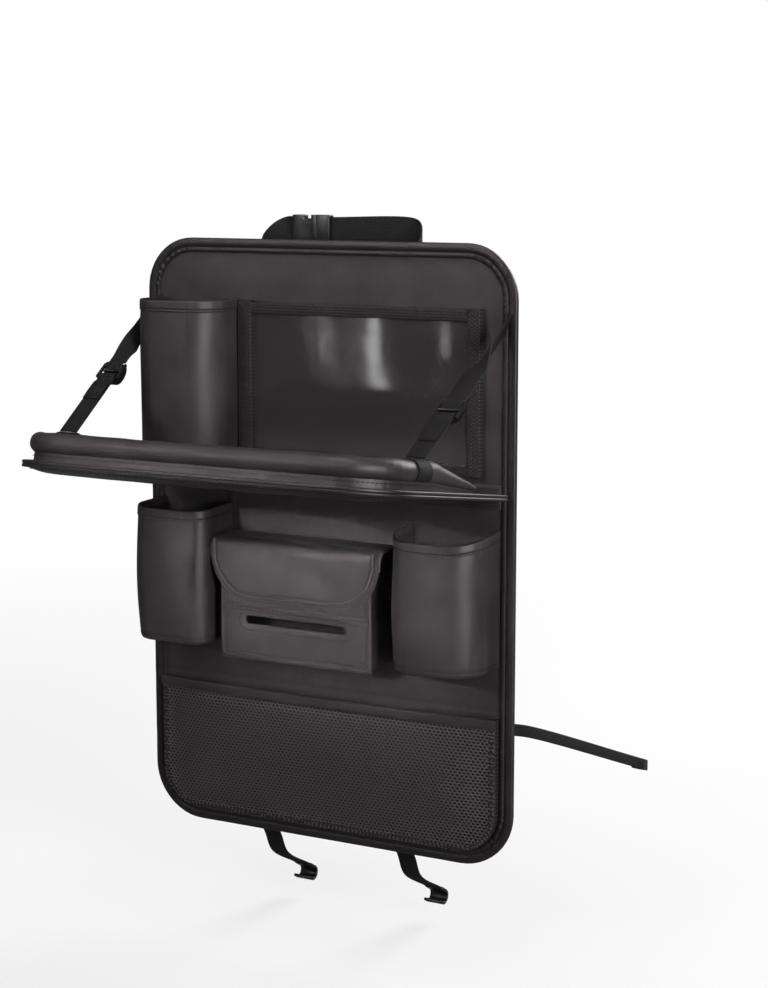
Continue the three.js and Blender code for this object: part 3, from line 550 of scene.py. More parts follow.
class Tree:
    """Lays nodes into a material or a group.

    Attributes:
        tree: The node tree.
    """

    def __init__(self, tree: NodeTree) -> None:
        """Keeps the tree."""
        self.tree = tree

    def put(self, kind: str, **values: object) -> Node:
        """Adds a node and fills its sockets.

        Args:
            kind: The node's type without its "ShaderNode" prefix.
            values: Socket names with spaces as underscores, or the node's own properties in lower case.

        Returns:
            The node.
        """
        made = self.tree.nodes.new("ShaderNode" + kind)
        for key, value in values.items():
            if key[0].islower():
                setattr(made, key, value)
        for key, value in values.items():
            if not key[0].islower():
                self.fill(made.inputs[int(key[1:]) if key[1:].isdigit() else key.replace("_", " ")], value)
        return made

    def fill(self, socket: Socket, value: object) -> None:
        """Sets a socket, or links it when the value is another socket.

        Args:
            socket: What is set.
            value: A socket, or a value of its own type.
        """
        if isinstance(value, Socket):
            self.tree.links.new(value, socket)
        else:
            socket.default_value = value

    def find(self, kind: str) -> Node:
        """The tree's own node of a type, such as its output."""
        return next(n for n in self.tree.nodes if n.type == kind)

    def math(self, operation: str, *values: object) -> Socket:
        """One arithmetic step.

        Args:
            operation: Its name.
            values: Numbers or sockets, in order.

        Returns:
            The result's socket.
        """
        made = self.put("Math", operation=operation)
        for socket, value in zip(made.inputs, values):
            self.fill(socket, value)
        return made.outputs[0]

    def ramp(self, value: object, low: float, high: float, to_low: float, to_high: float) -> Socket:
        """Maps a range of values to another, held at its ends."""
        made = self.put("MapRange", Value=value, From_Min=low, From_Max=high, To_Min=to_low, To_Max=to_high)
        return made.outputs[0]


def new_material(name: str) -> tuple:
    """A new material.

    Args:
        name: Of the material.

    Returns:
        (material, its Tree, its Principled shader).
    """
    material = bpy.data.materials.new(name)
    material.use_nodes = True
    tree = Tree(material.node_tree)
    return material, tree, tree.find("BSDF_PRINCIPLED")


def group(name: str, inputs: dict, outputs: list) -> tuple:
    """Starts a shader group.

    Args:
        name: The group's name.
        inputs: Socket names with their default, None for a vector.
        outputs: Names of the values that it puts out.

    Returns:
        (group, its Tree, the input node, the output node).
    """
    made = bpy.data.node_groups.new(name, "ShaderNodeTree")
    for key, default in inputs.items():
        kind = "NodeSocketVector" if default is None else "NodeSocketFloat"
        socket = made.interface.new_socket(name=key, in_out="INPUT", socket_type=kind)
        if default is not None:
            socket.default_value = default
    for key in outputs:
        made.interface.new_socket(name=key, in_out="OUTPUT", socket_type="NodeSocketFloat")
    return made, Tree(made), made.nodes.new("NodeGroupInput"), made.nodes.new("NodeGroupOutput")


def grain_group() -> NodeTree:
    """Pebbled grain: small cells with creases between them, over a slow swell.

    Height is the cell's smooth distance with fine noise, Tone a slow cloud for colour and gloss.

    Returns:
        The group, with Height and Tone.
    """
    made, t, source, sink = group("leather_grain", {"Vector": None, "Cells": 1100.0}, ["Height", "Tone"])
    at, cells = source.outputs["Vector"], source.outputs["Cells"]
    warp = t.put("TexNoise", Vector=at, Scale=420.0, Detail=2.0)
    bent = t.put("VectorMath", operation="MULTIPLY_ADD", I0=warp.outputs["Color"], I1=(0.0006,) * 3, I2=at)
    pebble = t.put("TexVoronoi", feature="SMOOTH_F1", Vector=bent.outputs[0], Scale=cells, Smoothness=0.35)
    fine = t.put("TexNoise", Vector=at, Scale=2600.0, Detail=3.0, Roughness=0.6)
    dome = t.math("SUBTRACT", 1.0, pebble.outputs["Distance"])
    t.fill(sink.inputs["Height"], t.math("MULTIPLY_ADD", fine.outputs["Fac"], 0.35, dome))
    slow = t.put("TexNoise", Vector=at, Scale=16.0, Detail=4.0, Roughness=0.55)
    t.fill(sink.inputs["Tone"], t.ramp(slow.outputs["Fac"], 0.3, 0.7, 0.0, 1.0))
    return made


def weave_group() -> NodeTree:
    """Woven tape: ribs across the tape, with each yarn crossing over and under the next.

    Height is the absolute sine along the tape times the absolute sine across it, shifted from
    row to row. Shade is dark between the yarns.

    Returns:
        The group, with Height and Shade.
    """
    made, t, source, sink = group(
        "tape_weave", {"Vector": None, "Rib": 1.6, "Yarn": 1.1, "Slant": 0.5}, ["Height", "Shade"])
    parts = t.put("SeparateXYZ", Vector=source.outputs["Vector"])
    along = t.math("DIVIDE", parts.outputs[0], t.math("MULTIPLY", source.outputs["Rib"], MM))
    across = t.math("DIVIDE", parts.outputs[1], t.math("MULTIPLY", source.outputs["Yarn"], MM))
    row = t.math("FLOOR", across)
    shifted = t.math("MULTIPLY_ADD", row, source.outputs["Slant"], along)
    rib = t.math("ABSOLUTE", t.math("SINE", t.math("MULTIPLY", shifted, math.pi)))
    yarn = t.math("ABSOLUTE", t.math("SINE", t.math("MULTIPLY", across, math.pi)))
    height = t.math("MULTIPLY", t.math("POWER", rib, 0.6), t.math("POWER", yarn, 0.5))
    t.fill(sink.inputs["Height"], height)
    t.fill(sink.inputs["Shade"], t.ramp(height, 0.05, 0.6, 0.0, 1.0))
    return made


def net_group() -> NodeTree:
    """Knitted net: small openings in staggered rows.

    In each cell the distance to the opening's middle is compared with its radius. Thread is 1 on
    the yarn and 0 in an opening, and Height rounds the yarn.

    Returns:
        The group, with Thread and Height.
    """
    made, t, source, sink = group(
        "net_openings", {"Vector": None, "Wide": 4.6, "Tall": 3.1, "Open": 0.34}, ["Thread", "Height"])
    parts = t.put("SeparateXYZ", Vector=source.outputs["Vector"])
    v = t.math("DIVIDE", parts.outputs[1], t.math("MULTIPLY", source.outputs["Tall"], MM))
    row = t.math("FLOOR", v)
    odd = t.math("MULTIPLY", t.math("FLOORED_MODULO", row, 2.0), 0.5)
    u = t.math("DIVIDE", parts.outputs[0], t.math("MULTIPLY", source.outputs["Wide"], MM))
    u = t.math("ADD", u, odd)
    du = t.math("SUBTRACT", t.math("FRACT", u), 0.5)
    dv = t.math("SUBTRACT", t.math("FRACT", v), 0.5)
    far = t.math("SQRT", t.math("ADD", t.math("MULTIPLY", du, du), t.math("MULTIPLY", dv, dv)))
    edge = source.outputs["Open"]
    t.fill(sink.inputs["Thread"], t.math("GREATER_THAN", far, edge))
    t.fill(sink.inputs["Height"], t.ramp(t.math("SUBTRACT", far, edge), 0.0, 0.14, 0.0, 1.0))
    return made


def wear_and_shade_group() -> NodeTree:
    """Handling marks and painted shade: dust that lies in seams, painted shade behind the net, and faint
    rubbed clouds on open faces.

    Seam reads the piece's own depth-in-a-seam value broken up by noise; on the panel behind the net that
    value is painted shade. Rubbed is a mid-size cloud.

    Returns:
        The group, with Seam and Rubbed.
    """
    made, t, source, sink = group("handling_wear_and_shade", {"Vector": None}, ["Seam", "Rubbed"])
    depth = t.put("Attribute", attribute_name="seam")
    cloud = t.put("TexNoise", Vector=source.outputs["Vector"], Scale=60.0, Detail=5.0, Roughness=0.6)
    broken = t.math("MULTIPLY", depth.outputs["Fac"], t.ramp(cloud.outputs["Fac"], 0.25, 0.6, 0.55, 1.0))
    t.fill(sink.inputs["Seam"], broken)
    t.fill(sink.inputs["Rubbed"], t.ramp(cloud.outputs["Fac"], 0.5, 0.72, 0.0, 1.0))
    return made


class Shared:
    """The groups that more than one finish uses, built once."""

    def __init__(self) -> None:
        """Builds every group."""
        self.grain = grain_group()
        self.weave = weave_group()
        self.net = net_group()
        self.wear_and_shade = wear_and_shade_group()


@dataclass(frozen=True)
class Finish:
    """What every finish shares.

    Attributes:
        name: The material's name.
        dark, light: The two colours that its pattern runs between.
        rough: Lowest and highest roughness.
        relief: Depth of its bump, in mm.
    """

    name: str
    dark: tuple
    light: tuple
    rough: tuple
    relief: float

    def colour(self, t: Tree, shader: Node, share: object) -> None:
        """Base colour between dark and light by share."""
        mix = t.put("Mix", data_type="RGBA", I6=(*self.dark, 1.0), I7=(*self.light, 1.0), I0=share)
        t.fill(shader.inputs["Base Color"], mix.outputs[2])

    def bump(self, t: Tree, shader: Node, height: object) -> None:
        """Relief from a height that changes over the surface."""
        made = t.put("Bump", Strength=1.0, Distance=self.relief * MM, Height=height)
        t.fill(shader.inputs["Normal"], made.outputs[0])


@dataclass(frozen=True)
class Leather(Finish):
    """Coated leather-look sheet.

    Attributes:
        cells: Grain cells per metre.
    """

    cells: float = 1100.0

    def make(self, shared: Shared) -> Material:
        """Grain in the bump, clouds in colour and gloss, dull dark seams, painted shade behind the net, a
        warm sheen.

        Args:
            shared: The shared groups.

        Returns:
            The material.
        """
        material, t, shader = new_material(self.name)
        place = t.put("TexCoord").outputs["Object"]
        grain = t.put("Group", node_tree=shared.grain, Vector=place, Cells=self.cells)
        wear_and_shade = t.put("Group", node_tree=shared.wear_and_shade, Vector=place)
        rubbed = wear_and_shade.outputs["Rubbed"]
        share = t.math("MULTIPLY_ADD", grain.outputs["Tone"], 0.6, t.math("MULTIPLY", rubbed, 0.12))
        # Seam darkens the colour: dust in seams, and on the panel behind the net painted shade.
        self.colour(t, shader, t.math("MULTIPLY", share, t.math("SUBTRACT", 1.0, wear_and_shade.outputs["Seam"])))
        base = t.ramp(grain.outputs["Tone"], 0.0, 1.0, *self.rough)
        dull = t.math("MULTIPLY_ADD", wear_and_shade.outputs["Seam"], 0.22, base)
        t.fill(shader.inputs["Roughness"], t.math("SUBTRACT", dull, t.math("MULTIPLY", rubbed, 0.02)))
        shader.inputs["Specular Tint"].default_value = (1.0, 0.91, 0.94, 1.0)
        self.bump(t, shader, grain.outputs["Height"])
        return material


@dataclass(frozen=True)
class Tape(Finish):
    """Woven tape and sewing thread.

    Attributes:
        rib, yarn: Distance between ribs and between yarns, in mm.
        slant: How far each row of the weave is shifted.
    """

    rib: float = 1.6
    yarn: float = 1.1
    slant: float = 0.5

    def make(self, shared: Shared) -> Material:
        """The weave follows the piece's own UV map, with a soft sheen.

        Args:
            shared: The shared groups.

        Returns:
            The material.
        """
        material, t, shader = new_material(self.name)
        place = t.put("TexCoord")
        weave = t.put("Group", node_tree=shared.weave, Vector=place.outputs["UV"], Rib=self.rib,
                      Yarn=self.yarn, Slant=self.slant)
        wear_and_shade = t.put("Group", node_tree=shared.wear_and_shade, Vector=place.outputs["Object"])
        lit = t.math("MULTIPLY", weave.outputs["Shade"], t.math("SUBTRACT", 1.0, wear_and_shade.outputs["Seam"]))
        lit = t.math("MULTIPLY_ADD", wear_and_shade.outputs["Rubbed"], 0.2, t.math("MULTIPLY", lit, 0.8))
        self.colour(t, shader, lit)
        gloss = t.ramp(weave.outputs["Height"], 0.0, 1.0, self.rough[1], self.rough[0])
        t.fill(shader.inputs["Roughness"], gloss)
        shader.inputs["Specular IOR Level"].default_value = 0.22
        self.bump(t, shader, weave.outputs["Height"])
        return material


@dataclass(frozen=True)
class Net(Finish):
    """Knitted net with real openings."""

    def make(self, shared: Shared) -> Material:
        """Alpha is 0 in each opening.

        Args:
            shared: The shared groups.

        Returns:
            The material.
        """
        material, t, shader = new_material(self.name)
        place = t.put("TexCoord")
        net = t.put("Group", node_tree=shared.net, Vector=place.outputs["UV"])
        cloud = t.put("TexNoise", Vector=place.outputs["Object"], Scale=90.0, Detail=3.0)
        self.colour(t, shader, cloud.outputs["Fac"])
        t.fill(shader.inputs["Roughness"], t.ramp(cloud.outputs["Fac"], 0.3, 0.7, *self.rough))
        t.fill(shader.inputs["Alpha"], net.outputs["Thread"])
        self.bump(t, shader, net.outputs["Height"])
        return material


@dataclass(frozen=True)
class Moulded(Finish):
    """Moulded plastic with a fine spark texture."""

    def make(self, shared: Shared) -> Material:
        """Fine noise in the bump, clouds in the gloss.

        Args:
            shared: The shared groups.

        Returns:
            The material.
        """
        material, t, shader = new_material(self.name)
        place = t.put("TexCoord").outputs["Object"]
        spark = t.put("TexNoise", Vector=place, Scale=1900.0, Detail=3.0)
        wear_and_shade = t.put("Group", node_tree=shared.wear_and_shade, Vector=place)
        self.colour(t, shader, wear_and_shade.outputs["Rubbed"])
        t.fill(shader.inputs["Roughness"], t.ramp(wear_and_shade.outputs["Rubbed"], 0.0, 1.0, *self.rough))
        self.bump(t, shader, spark.outputs["Fac"])
        return material


@dataclass(frozen=True)
class Film(Finish):
    """Clear soft film, glossier and less clear at a glancing angle."""

    def make(self, shared: Shared) -> Material:
        """Alpha rises with Layer Weight, and slow waves bend the reflections.

        Args:
            shared: The shared groups.

        Returns:
            The material.
        """
        material, t, shader = new_material(self.name)
        place = t.put("TexCoord").outputs["Object"]
        waves = t.put("TexNoise", Vector=place, Scale=14.0, Detail=2.0)
        scuff = t.put("TexNoise", Vector=place, Scale=240.0, Detail=5.0)
        self.colour(t, shader, scuff.outputs["Fac"])
        t.fill(shader.inputs["Roughness"], t.ramp(scuff.outputs["Fac"], 0.4, 0.8, *self.rough))
        facing = t.put("LayerWeight", Blend=0.25)
        t.fill(shader.inputs["Alpha"], t.ramp(facing.outputs["Fresnel"], 0.0, 1.0, 0.28, 0.95))
        shader.inputs["IOR"].default_value = 1.8
        self.bump(t, shader, waves.outputs["Fac"])
        return material


def tone(value: float) -> tuple:
    """A near-neutral colour of one lightness, a touch warm and short of green."""
    return (value * 1.06, value * 0.92, value * 0.99)


class Wardrobe:
    """Every finish of the organizer, made once."""

    def __init__(self) -> None:
        """Builds the shared groups and the materials."""
        shared = Shared()
        self.leather = Leather("coated_leather", tone(0.015), tone(0.046), (0.42, 0.54), 0.10).make(shared)
        self.binding = Leather("binding_leather", tone(0.008), tone(0.015), (0.36, 0.50), 0.08,
                               1500.0).make(shared)
        self.elastic = Tape("ribbed_elastic", tone(0.0), tone(0.034), (0.42, 0.8), 0.6, 3.6,
                            2.7).make(shared)
        self.webbing = Tape("strap_webbing", tone(0.001), tone(0.014), (0.55, 0.85), 0.4, 2.4,
                            1.8).make(shared)
        self.thread = Tape("sewing_thread", tone(0.010), tone(0.030), (0.45, 0.6), 0.05, 0.7,
                           0.5).make(shared)
        self.net = Net("knitted_net", tone(0.045), tone(0.080), (0.45, 0.65), 0.3).make(shared)
        self.plastic = Moulded("moulded_plastic", tone(0.008), tone(0.014), (0.28, 0.40), 0.03).make(shared)
        self.film = Film("clear_film", tone(0.05), tone(0.09), (0.05, 0.14), 0.35).make(shared)


class Slot(Enum):
    """Material slots of the part's record."""

    LEATHER = "leather"
    BINDING = "binding"
    WEBBING = "webbing"
    MESH = "mesh"
    PLASTIC = "plastic"
    FILM = "clear_film"


class Body(Enum):
    """Bodies of the part's own mechanism."""

    MAIN = "organizer"
    TRAY = "tray"
    FLAP = "flap"
    SLIDER_LEFT = "slider_left"
    SLIDER_RIGHT = "slider_right"


def settle(piece: Piece, body: Body | None, node: str) -> Piece:
    """Hides the CAD node that a piece stands for, hangs the piece on its body, and reports it.

    Args:
        piece: The finished piece.
        body: The body that it rides on, None to leave it unattached.
        node: The CAD node that it stands for.

    Returns:
        The piece.
    """
    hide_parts(node)
    if body:
        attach(piece, body.value)
    LOG.info("%s: %d faces", piece.name, len(piece.data.polygons))
    return piece


@dataclass
class Part:
    """What every sub-assembly has.

    Attributes:
        wardrobe: The finishes that dress it.
    """

    wardrobe: Wardrobe

    def close(self, skin: Skin, finish: Material, slot: Slot, node: str,
              body: Body | None = Body.MAIN) -> Piece:
        """Turns a skin into a finished piece, with thread where it is sewn.

        Args:
            skin: What was built.
            finish: Its main material.
            slot: Its material slot, not used.
                node, body: Its CAD node and body, as settle takes them.

        Returns:
            The piece.
        """
        materials = [finish, self.wardrobe.thread] if skin.sewn else [finish]
        return settle(skin.finish(materials), body, node)


@dataclass
class Panel(Part):
    """The padded panel and the tape sewn round its edge.

    Attributes:
        width, height: Of the panel, in mm.
        top_radius, foot_radius: Of its corners.
        tape, skin: Width of the binding, and how far it stands off the panel.
        seam_x: Where the upright double seam under the tray runs.
        pad_half, pad_level, pad_reach, pad_radius: The rear's padded centre: its half width and half
            height between its corners' centres, the height of its middle, and its corners' radius.
    """

    width: float = 410.0
    height: float = 600.0
    top_radius: float = 52.0
    foot_radius: float = 55.0
    tape: float = 14.0
    skin: float = 1.6
    seam_x: float = -107.5
    pad_half: float = 120.0
    pad_level: float = 296.0
    pad_reach: float = 204.0
    pad_radius: float = 30.0

    def half(self, h: Array, inset: float) -> Array:
        """Half width at each height, with both pairs of corners rounded.

        Args:
            h: Heights.
            inset: Distance in from the outline.

        Returns:
            The smaller of the half widths that the top and foot corners leave.
        """
        w = self.width / 2 - inset
        top = rounded_half(h, self.height - inset, self.top_radius - inset, w)
        foot = rounded_half(self.height - h, self.height - inset, self.foot_radius - inset, w)
        return np.minimum(top, foot)

    def outline(self, inset: float, count: int) -> Array:
        """The closed outline from the middle of the foot, anticlockwise seen from the front.

        Args:
            inset: Distance in from the edge.
            count: How many points.

        Returns:
            Points (count, 2) as x and height, first and last the same.
        """
        w, top, foot = self.width / 2 - inset, self.top_radius - inset, self.foot_radius - inset
        high = self.height - inset
        line = np.concatenate([
            [[0, inset]], arc(w - foot, inset + foot, foot, 270, 360), arc(w - top, high - top, top, 0, 90),
            arc(-w + top, high - top, top, 90, 180), arc(-w + foot, inset + foot, foot, 180, 270),
            [[0, inset]]])
        return resample(line, count)

    def relief(self, x: Array, h: Array) -> tuple:
        """How far the front stands out, and how deep in a seam each point is, with painted shade behind the
        net.

        A padded swell between seams, less a valley along each sewn line, plus soft waves.

        Args:
            x, h: Places on the panel.

        Returns:
            (height in mm, seam depth 0 to 1, which also carries the painted shade behind the net).
        """
        edge = np.minimum(self.half(h, self.tape) - np.abs(x),
                          np.minimum(self.height - self.tape - h, h - self.tape))
        swell = 1.1 * step(0, 30, edge) + 0.5 * ripple(x, h, 120, 3) + 0.16 * ripple(x, h, 34, 4)
        seam = np.zeros_like(swell)
        strip = step(298, 303, h) * (1 - step(354, 358, h))
        for side in (-5, 5):
            seam = np.maximum(seam, ridge(self.seam_x + side, 1.8, x) * strip)
        swell = swell + 2.2 * ridge(self.seam_x, 3.4, x) * strip
        for level in (372, 158):
            seam = np.maximum(seam, ridge(level, 1.8, h) * 0.8)
        gather = np.exp(-np.maximum(edge, 0) / 9) * 0.35 * ripple(x * 3, h * 3, 40, 8)
        # Painted shade: the panel behind the net is darkened through the seam value, standing in for the
        # net's shadow.
        painted_net_shade = 0.8 * (1 - step(138, 150, h)) * step(4, 9, edge)
        return swell - 1.1 * seam + gather, np.maximum(np.maximum(seam, painted_net_shade),
                                                       np.exp(-np.maximum(edge, 0) / 2.5))

    def pad_depth(self, x: Array, h: Array) -> Array:
        """How far a place lies inside the rear's padded centre, a rounded rectangle.

        Args:
            x, h: Places on the panel.

        Returns:
            Distance in mm, negative outside.
        """
        qx, qh = np.abs(x) - self.pad_half, np.abs(h - self.pad_level) - self.pad_reach
        outside = np.hypot(np.maximum(qx, 0), np.maximum(qh, 0))
        return self.pad_radius - outside - np.minimum(np.maximum(qx, qh), 0)

    def body(self) -> None:
        """The panel itself: rows of points between the rounded sides, front and back."""
        skin = Skin("panel")
        inset = self.skin + 0.3
        h = corner_rows(inset, self.height - inset, self.foot_radius, self.top_radius, 132)[:, None]
        x = np.linspace(-1, 1, 113)[None] * self.half(h, inset)
        h = np.broadcast_to(h, x.shape)
        out, seam = self.relief(x, h)
        front = points_of(x, FRONT - out * 0.8, h)
        pad = self.pad_depth(x, h)
        swell = 0.35 * ripple(x, h, 60, 5) * step(2, 30, pad) - 0.7 * ridge(5.0, 1.4, pad)
        back = points_of(x, REAR - REAR * step(-1.6, 1.6, pad) + swell * (pad > -2), h)
        uv = points_of(x, h)
        skin.shell(front, back, uv, seam)
        low, high = self.pad_level - self.pad_reach, self.pad_level + self.pad_reach
        half, r = self.pad_half, self.pad_radius - 5
        line = resample(np.concatenate([
            arc(half, high, r, 0, 90), arc(-half, high, r, 90, 180), arc(-half, low, r, 180, 270),
            arc(half, low, r, 270, 360), [[half + r, high]]]), 900)
        skin.stitches(upright(line, -0.75), INWARD)
        for side in (1.9, -1.9):
            skin.stitches(points_of(self.seam_x + side, FRONT - 1.9, np.linspace(304, 354, 30)), OUTWARD)
        piece = self.close(skin, self.wardrobe.leather, Slot.LEATHER, "back_panel")

    def binding(self) -> None:
        """Tape folded over the edge, crowned between two stitched grooves and puckered at the corners.

        Each outline point carries a section of (distance in, depth); the pucker is a sine along the
        edge, strongest in the corners and at the tape's inner border.
        """
        skin = Skin("edge_tape")
        face = FRONT - self.skin
        tape = self.tape
        bare = np.concatenate([
            [[tape, SEAM], [tape, face + 0.6], [tape - 0.5, face + 0.1], [tape - 2.4, face - 0.2],
             [tape - 4.4, face], [tape - 5.2, face + 0.85], [tape - 6.0, face], [6.2, face - 0.5],
             [4.2, face - 0.55], [2.4, face - 0.15]],
            arc(1.7, face + 1.7, 1.7, 270, 180, 4), [[0.0, -4.2], [0.0, REAR - 0.6]],
            arc(1.7, REAR - 0.1, 1.7, 180, 90, 4),
            np.array([[4.5, 1.75], [8.0, 1.5], [9.0, 1.1], [10.0, 1.5], [tape - 1, 1.5], [tape, 1.1],
                      [tape, 0.3], [6.0, 0.35]]) + [0, REAR],
            [[6.0, -5.0]]])
        count = 1500
        rings = np.stack([self.outline(inset, count) for inset in bare[:, 0]], 1)
        run = length_along(rings[:, 0])[:, None]
        x, h = rings[..., 0], rings[..., 1]
        corner = step(self.width / 2 - 70, self.width / 2 - 30, np.abs(x))
        corner = corner * np.maximum(step(530, 570, h), 1 - step(25, 75, h))
        inner = bare[None, :, 0] / tape
        front = (bare[:, 1] < -4.5)[None]
        pleat = beat(run, 7.5, 4 * ripple(run, 0 * run, 45, 9)) + 0.5 * ripple(run, inner * 20, 9, 7)
        out = front * (0.06 + 0.34 * corner * inner) * pleat * (0.3 + inner)
        out = out + 0.12 * ripple(run, 0 * run, 25, 2)
        y = bare[None, :, 1] - np.where(front, out, 0)
        grid = points_of(x, y, h)
        groove = np.maximum(ridge(tape - 5.2, 0.8, bare[:, 0]), 0.7 * (bare[:, 0] >= tape - 0.2))
        uv = points_of(run, bare[None, :, 0])
        skin.rings(grid[:-1], uv[:-1], np.broadcast_to(groove, x.shape)[:-1], closed=True)
        for inset, level, out in ((tape - 5.2, face + 0.55, OUTWARD), (9.0, REAR + 1.2, INWARD)):
            line = self.outline(inset, 900)
            skin.stitches(upright(line, level), out)
        self.close(skin, self.wardrobe.binding, Slot.BINDING, "edge_binding")

    def make(self) -> None:
        """Builds the panel and its binding."""
        self.body()
        self.binding()


@dataclass
class Pocket(Part):
    """A bent leather wall with a floor and a folded hem.

    Attributes:
        name, node: Of the piece and of its CAD node.
        left, right, depth, foot, rim: Where the pocket is, in mm.
        left_radius, right_radius: Of its two upright bends.
        dip: How far the rim sinks at the front.
        seed: Chooses its creases.
        squashed: Whether the folding tray presses it flat, which here only gives it a mesh of its own.
        fullness: How far the wall bellies out.
        wall, hem: Thickness of the wall and height of its hem.
    """

    name: str
    node: str
    left: float
    right: float
    depth: float
    left_radius: float
    right_radius: float
    foot: float
    rim: float
    dip: float
    seed: int
    squashed: bool = False
    fullness: float = 7.5
    wall: float = 2.2
    hem: float = 10.0

    def plan(self, count: int) -> tuple:
        """The wall seen from above: out from the panel, round both bends and back.

        Args:
            count: How many points.

        Returns:
            (points (count, 2), outward directions (count, 2), distance along it (count,)).
        """
        line = cradle(self.left, self.right, SEAM - self.depth, SEAM,
                      (self.left_radius, self.right_radius), 16, count)
        along = heading(line)
        return line, np.stack([along[:, 1], -along[:, 0]], 1), length_along(line)

    def stand_out(self, s: Array, h: Array) -> tuple:
        """How far the wall stands off its plan, and its seam depth.

        Fullness is a half sine both ways, the hem a flat step above a stitched groove, the foot a
        quarter round, with soft creases rising from the foot's corners.

        Args:
            s: Share of the way along the wall, 0 to 1.
            h: Height.

        Returns:
            (offset in mm, seam depth).
        """
        t = (h - self.foot) / (self.rim - self.foot)
        full = self.fullness * np.sin(math.pi * (0.08 + 0.84 * t)) ** 0.8 * np.sin(math.pi * s) ** 2.6
        crease = 0.5 * ripple(s * 260, h * 0.6, 70, self.seed) * np.sin(math.pi * s) ** 0.4
        crease = crease + 0.35 * ripple(s * 300, h * 0.3, 24, self.seed + 1) * (1 - step(0.05, 0.3, t))
        low = self.rim - self.hem
        hem = 0.25 * ripple(s * 400, h * 0, 22, self.seed + 2) * step(low - 12, low, h)
        hem = hem + 0.9 * step(low, low + 1.2, h)
        groove = ridge(low + 2.4, 0.9, h)
        turn = np.clip((6 - (h - self.foot)) / 6, 0, 1)
        foot_seam = ridge(self.foot + 6.5, 0.9, h)
        out = full + crease + hem - 0.55 * groove - 6 * (1 - np.sqrt(1 - turn**2)) * 0.55 - 0.5 * foot_seam
        side = np.exp(-np.minimum(s, 1 - s) * 60)
        return out * (1 - 0.8 * side), np.clip(groove + foot_seam + side + 0.8 * ridge(low, 0.5, h), 0, 1)

    def place(self, s: Array, h: Array, extra: float = 0.0) -> Array:
        """Points of the wall's outside, stood off by extra.

        Args:
            s, h: Share along the wall and height, as grids.
            extra: In mm.

        Returns:
            Points (..., 3).
        """
        line, out, run = self.plan(240)
        share = run / run[-1]
        at = [np.interp(s, share, line[:, k]) for k in (0, 1)]
        way = [np.interp(s, share, out[:, k]) for k in (0, 1)]
        off = self.stand_out(s, h)[0] + extra
        forward = (SEAM - at[1]) / self.depth
        high = np.maximum(0, (h - self.foot) / (self.rim - self.foot) - 0.5) * 2
        return np.stack([at[0] + way[0] * off, at[1] + way[1] * off, h - self.dip * forward**2 * high], -1)

    def make(self) -> None:
        """Builds wall, floor and stitching as one piece."""
        skin = Skin(self.name)
        h = np.concatenate([
            self.foot + 6 * (1 - np.cos(np.linspace(0, math.pi / 2, 8))),
            np.linspace(self.foot + 7, self.rim - self.hem - 3, 44),
            np.linspace(self.rim - self.hem - 2, self.rim, 22)])[:, None]
        s = np.linspace(0, 1, 150)[None]
        grid_s, grid_h = np.broadcast_arrays(s, h)
        outer, inner = self.place(grid_s, grid_h), self.place(grid_s, grid_h, -self.wall)
        run = self.plan(240)[2][-1]
        skin.shell(outer, inner, points_of(grid_s * run, grid_h), self.stand_out(grid_s, grid_h)[1])
        edge = self.place(s[0], np.full(150, self.foot + 1.2), -1.0)
        v = np.linspace(0, 1, 6)[:, None]
        flat = points_of(edge[:, 0], SEAM + (edge[:, 1] - SEAM) * v, self.foot + 1.0)
        skin.shell(flat, flat + 1.6 * UPWARD, flat[..., :2])
        for level in (self.rim - self.hem + 2.4, self.foot + 6.5):
            share = np.linspace(0.01, 0.99, 240)
            line = self.place(share, np.full(240, level), 0.1)
            normal = unit(self.place(share, np.full(240, level), 2.0) - line)
            skin.stitches(line, normal)
        piece = self.close(skin, self.wardrobe.leather, Slot.LEATHER, self.node)
        if self.squashed:
            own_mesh(piece)


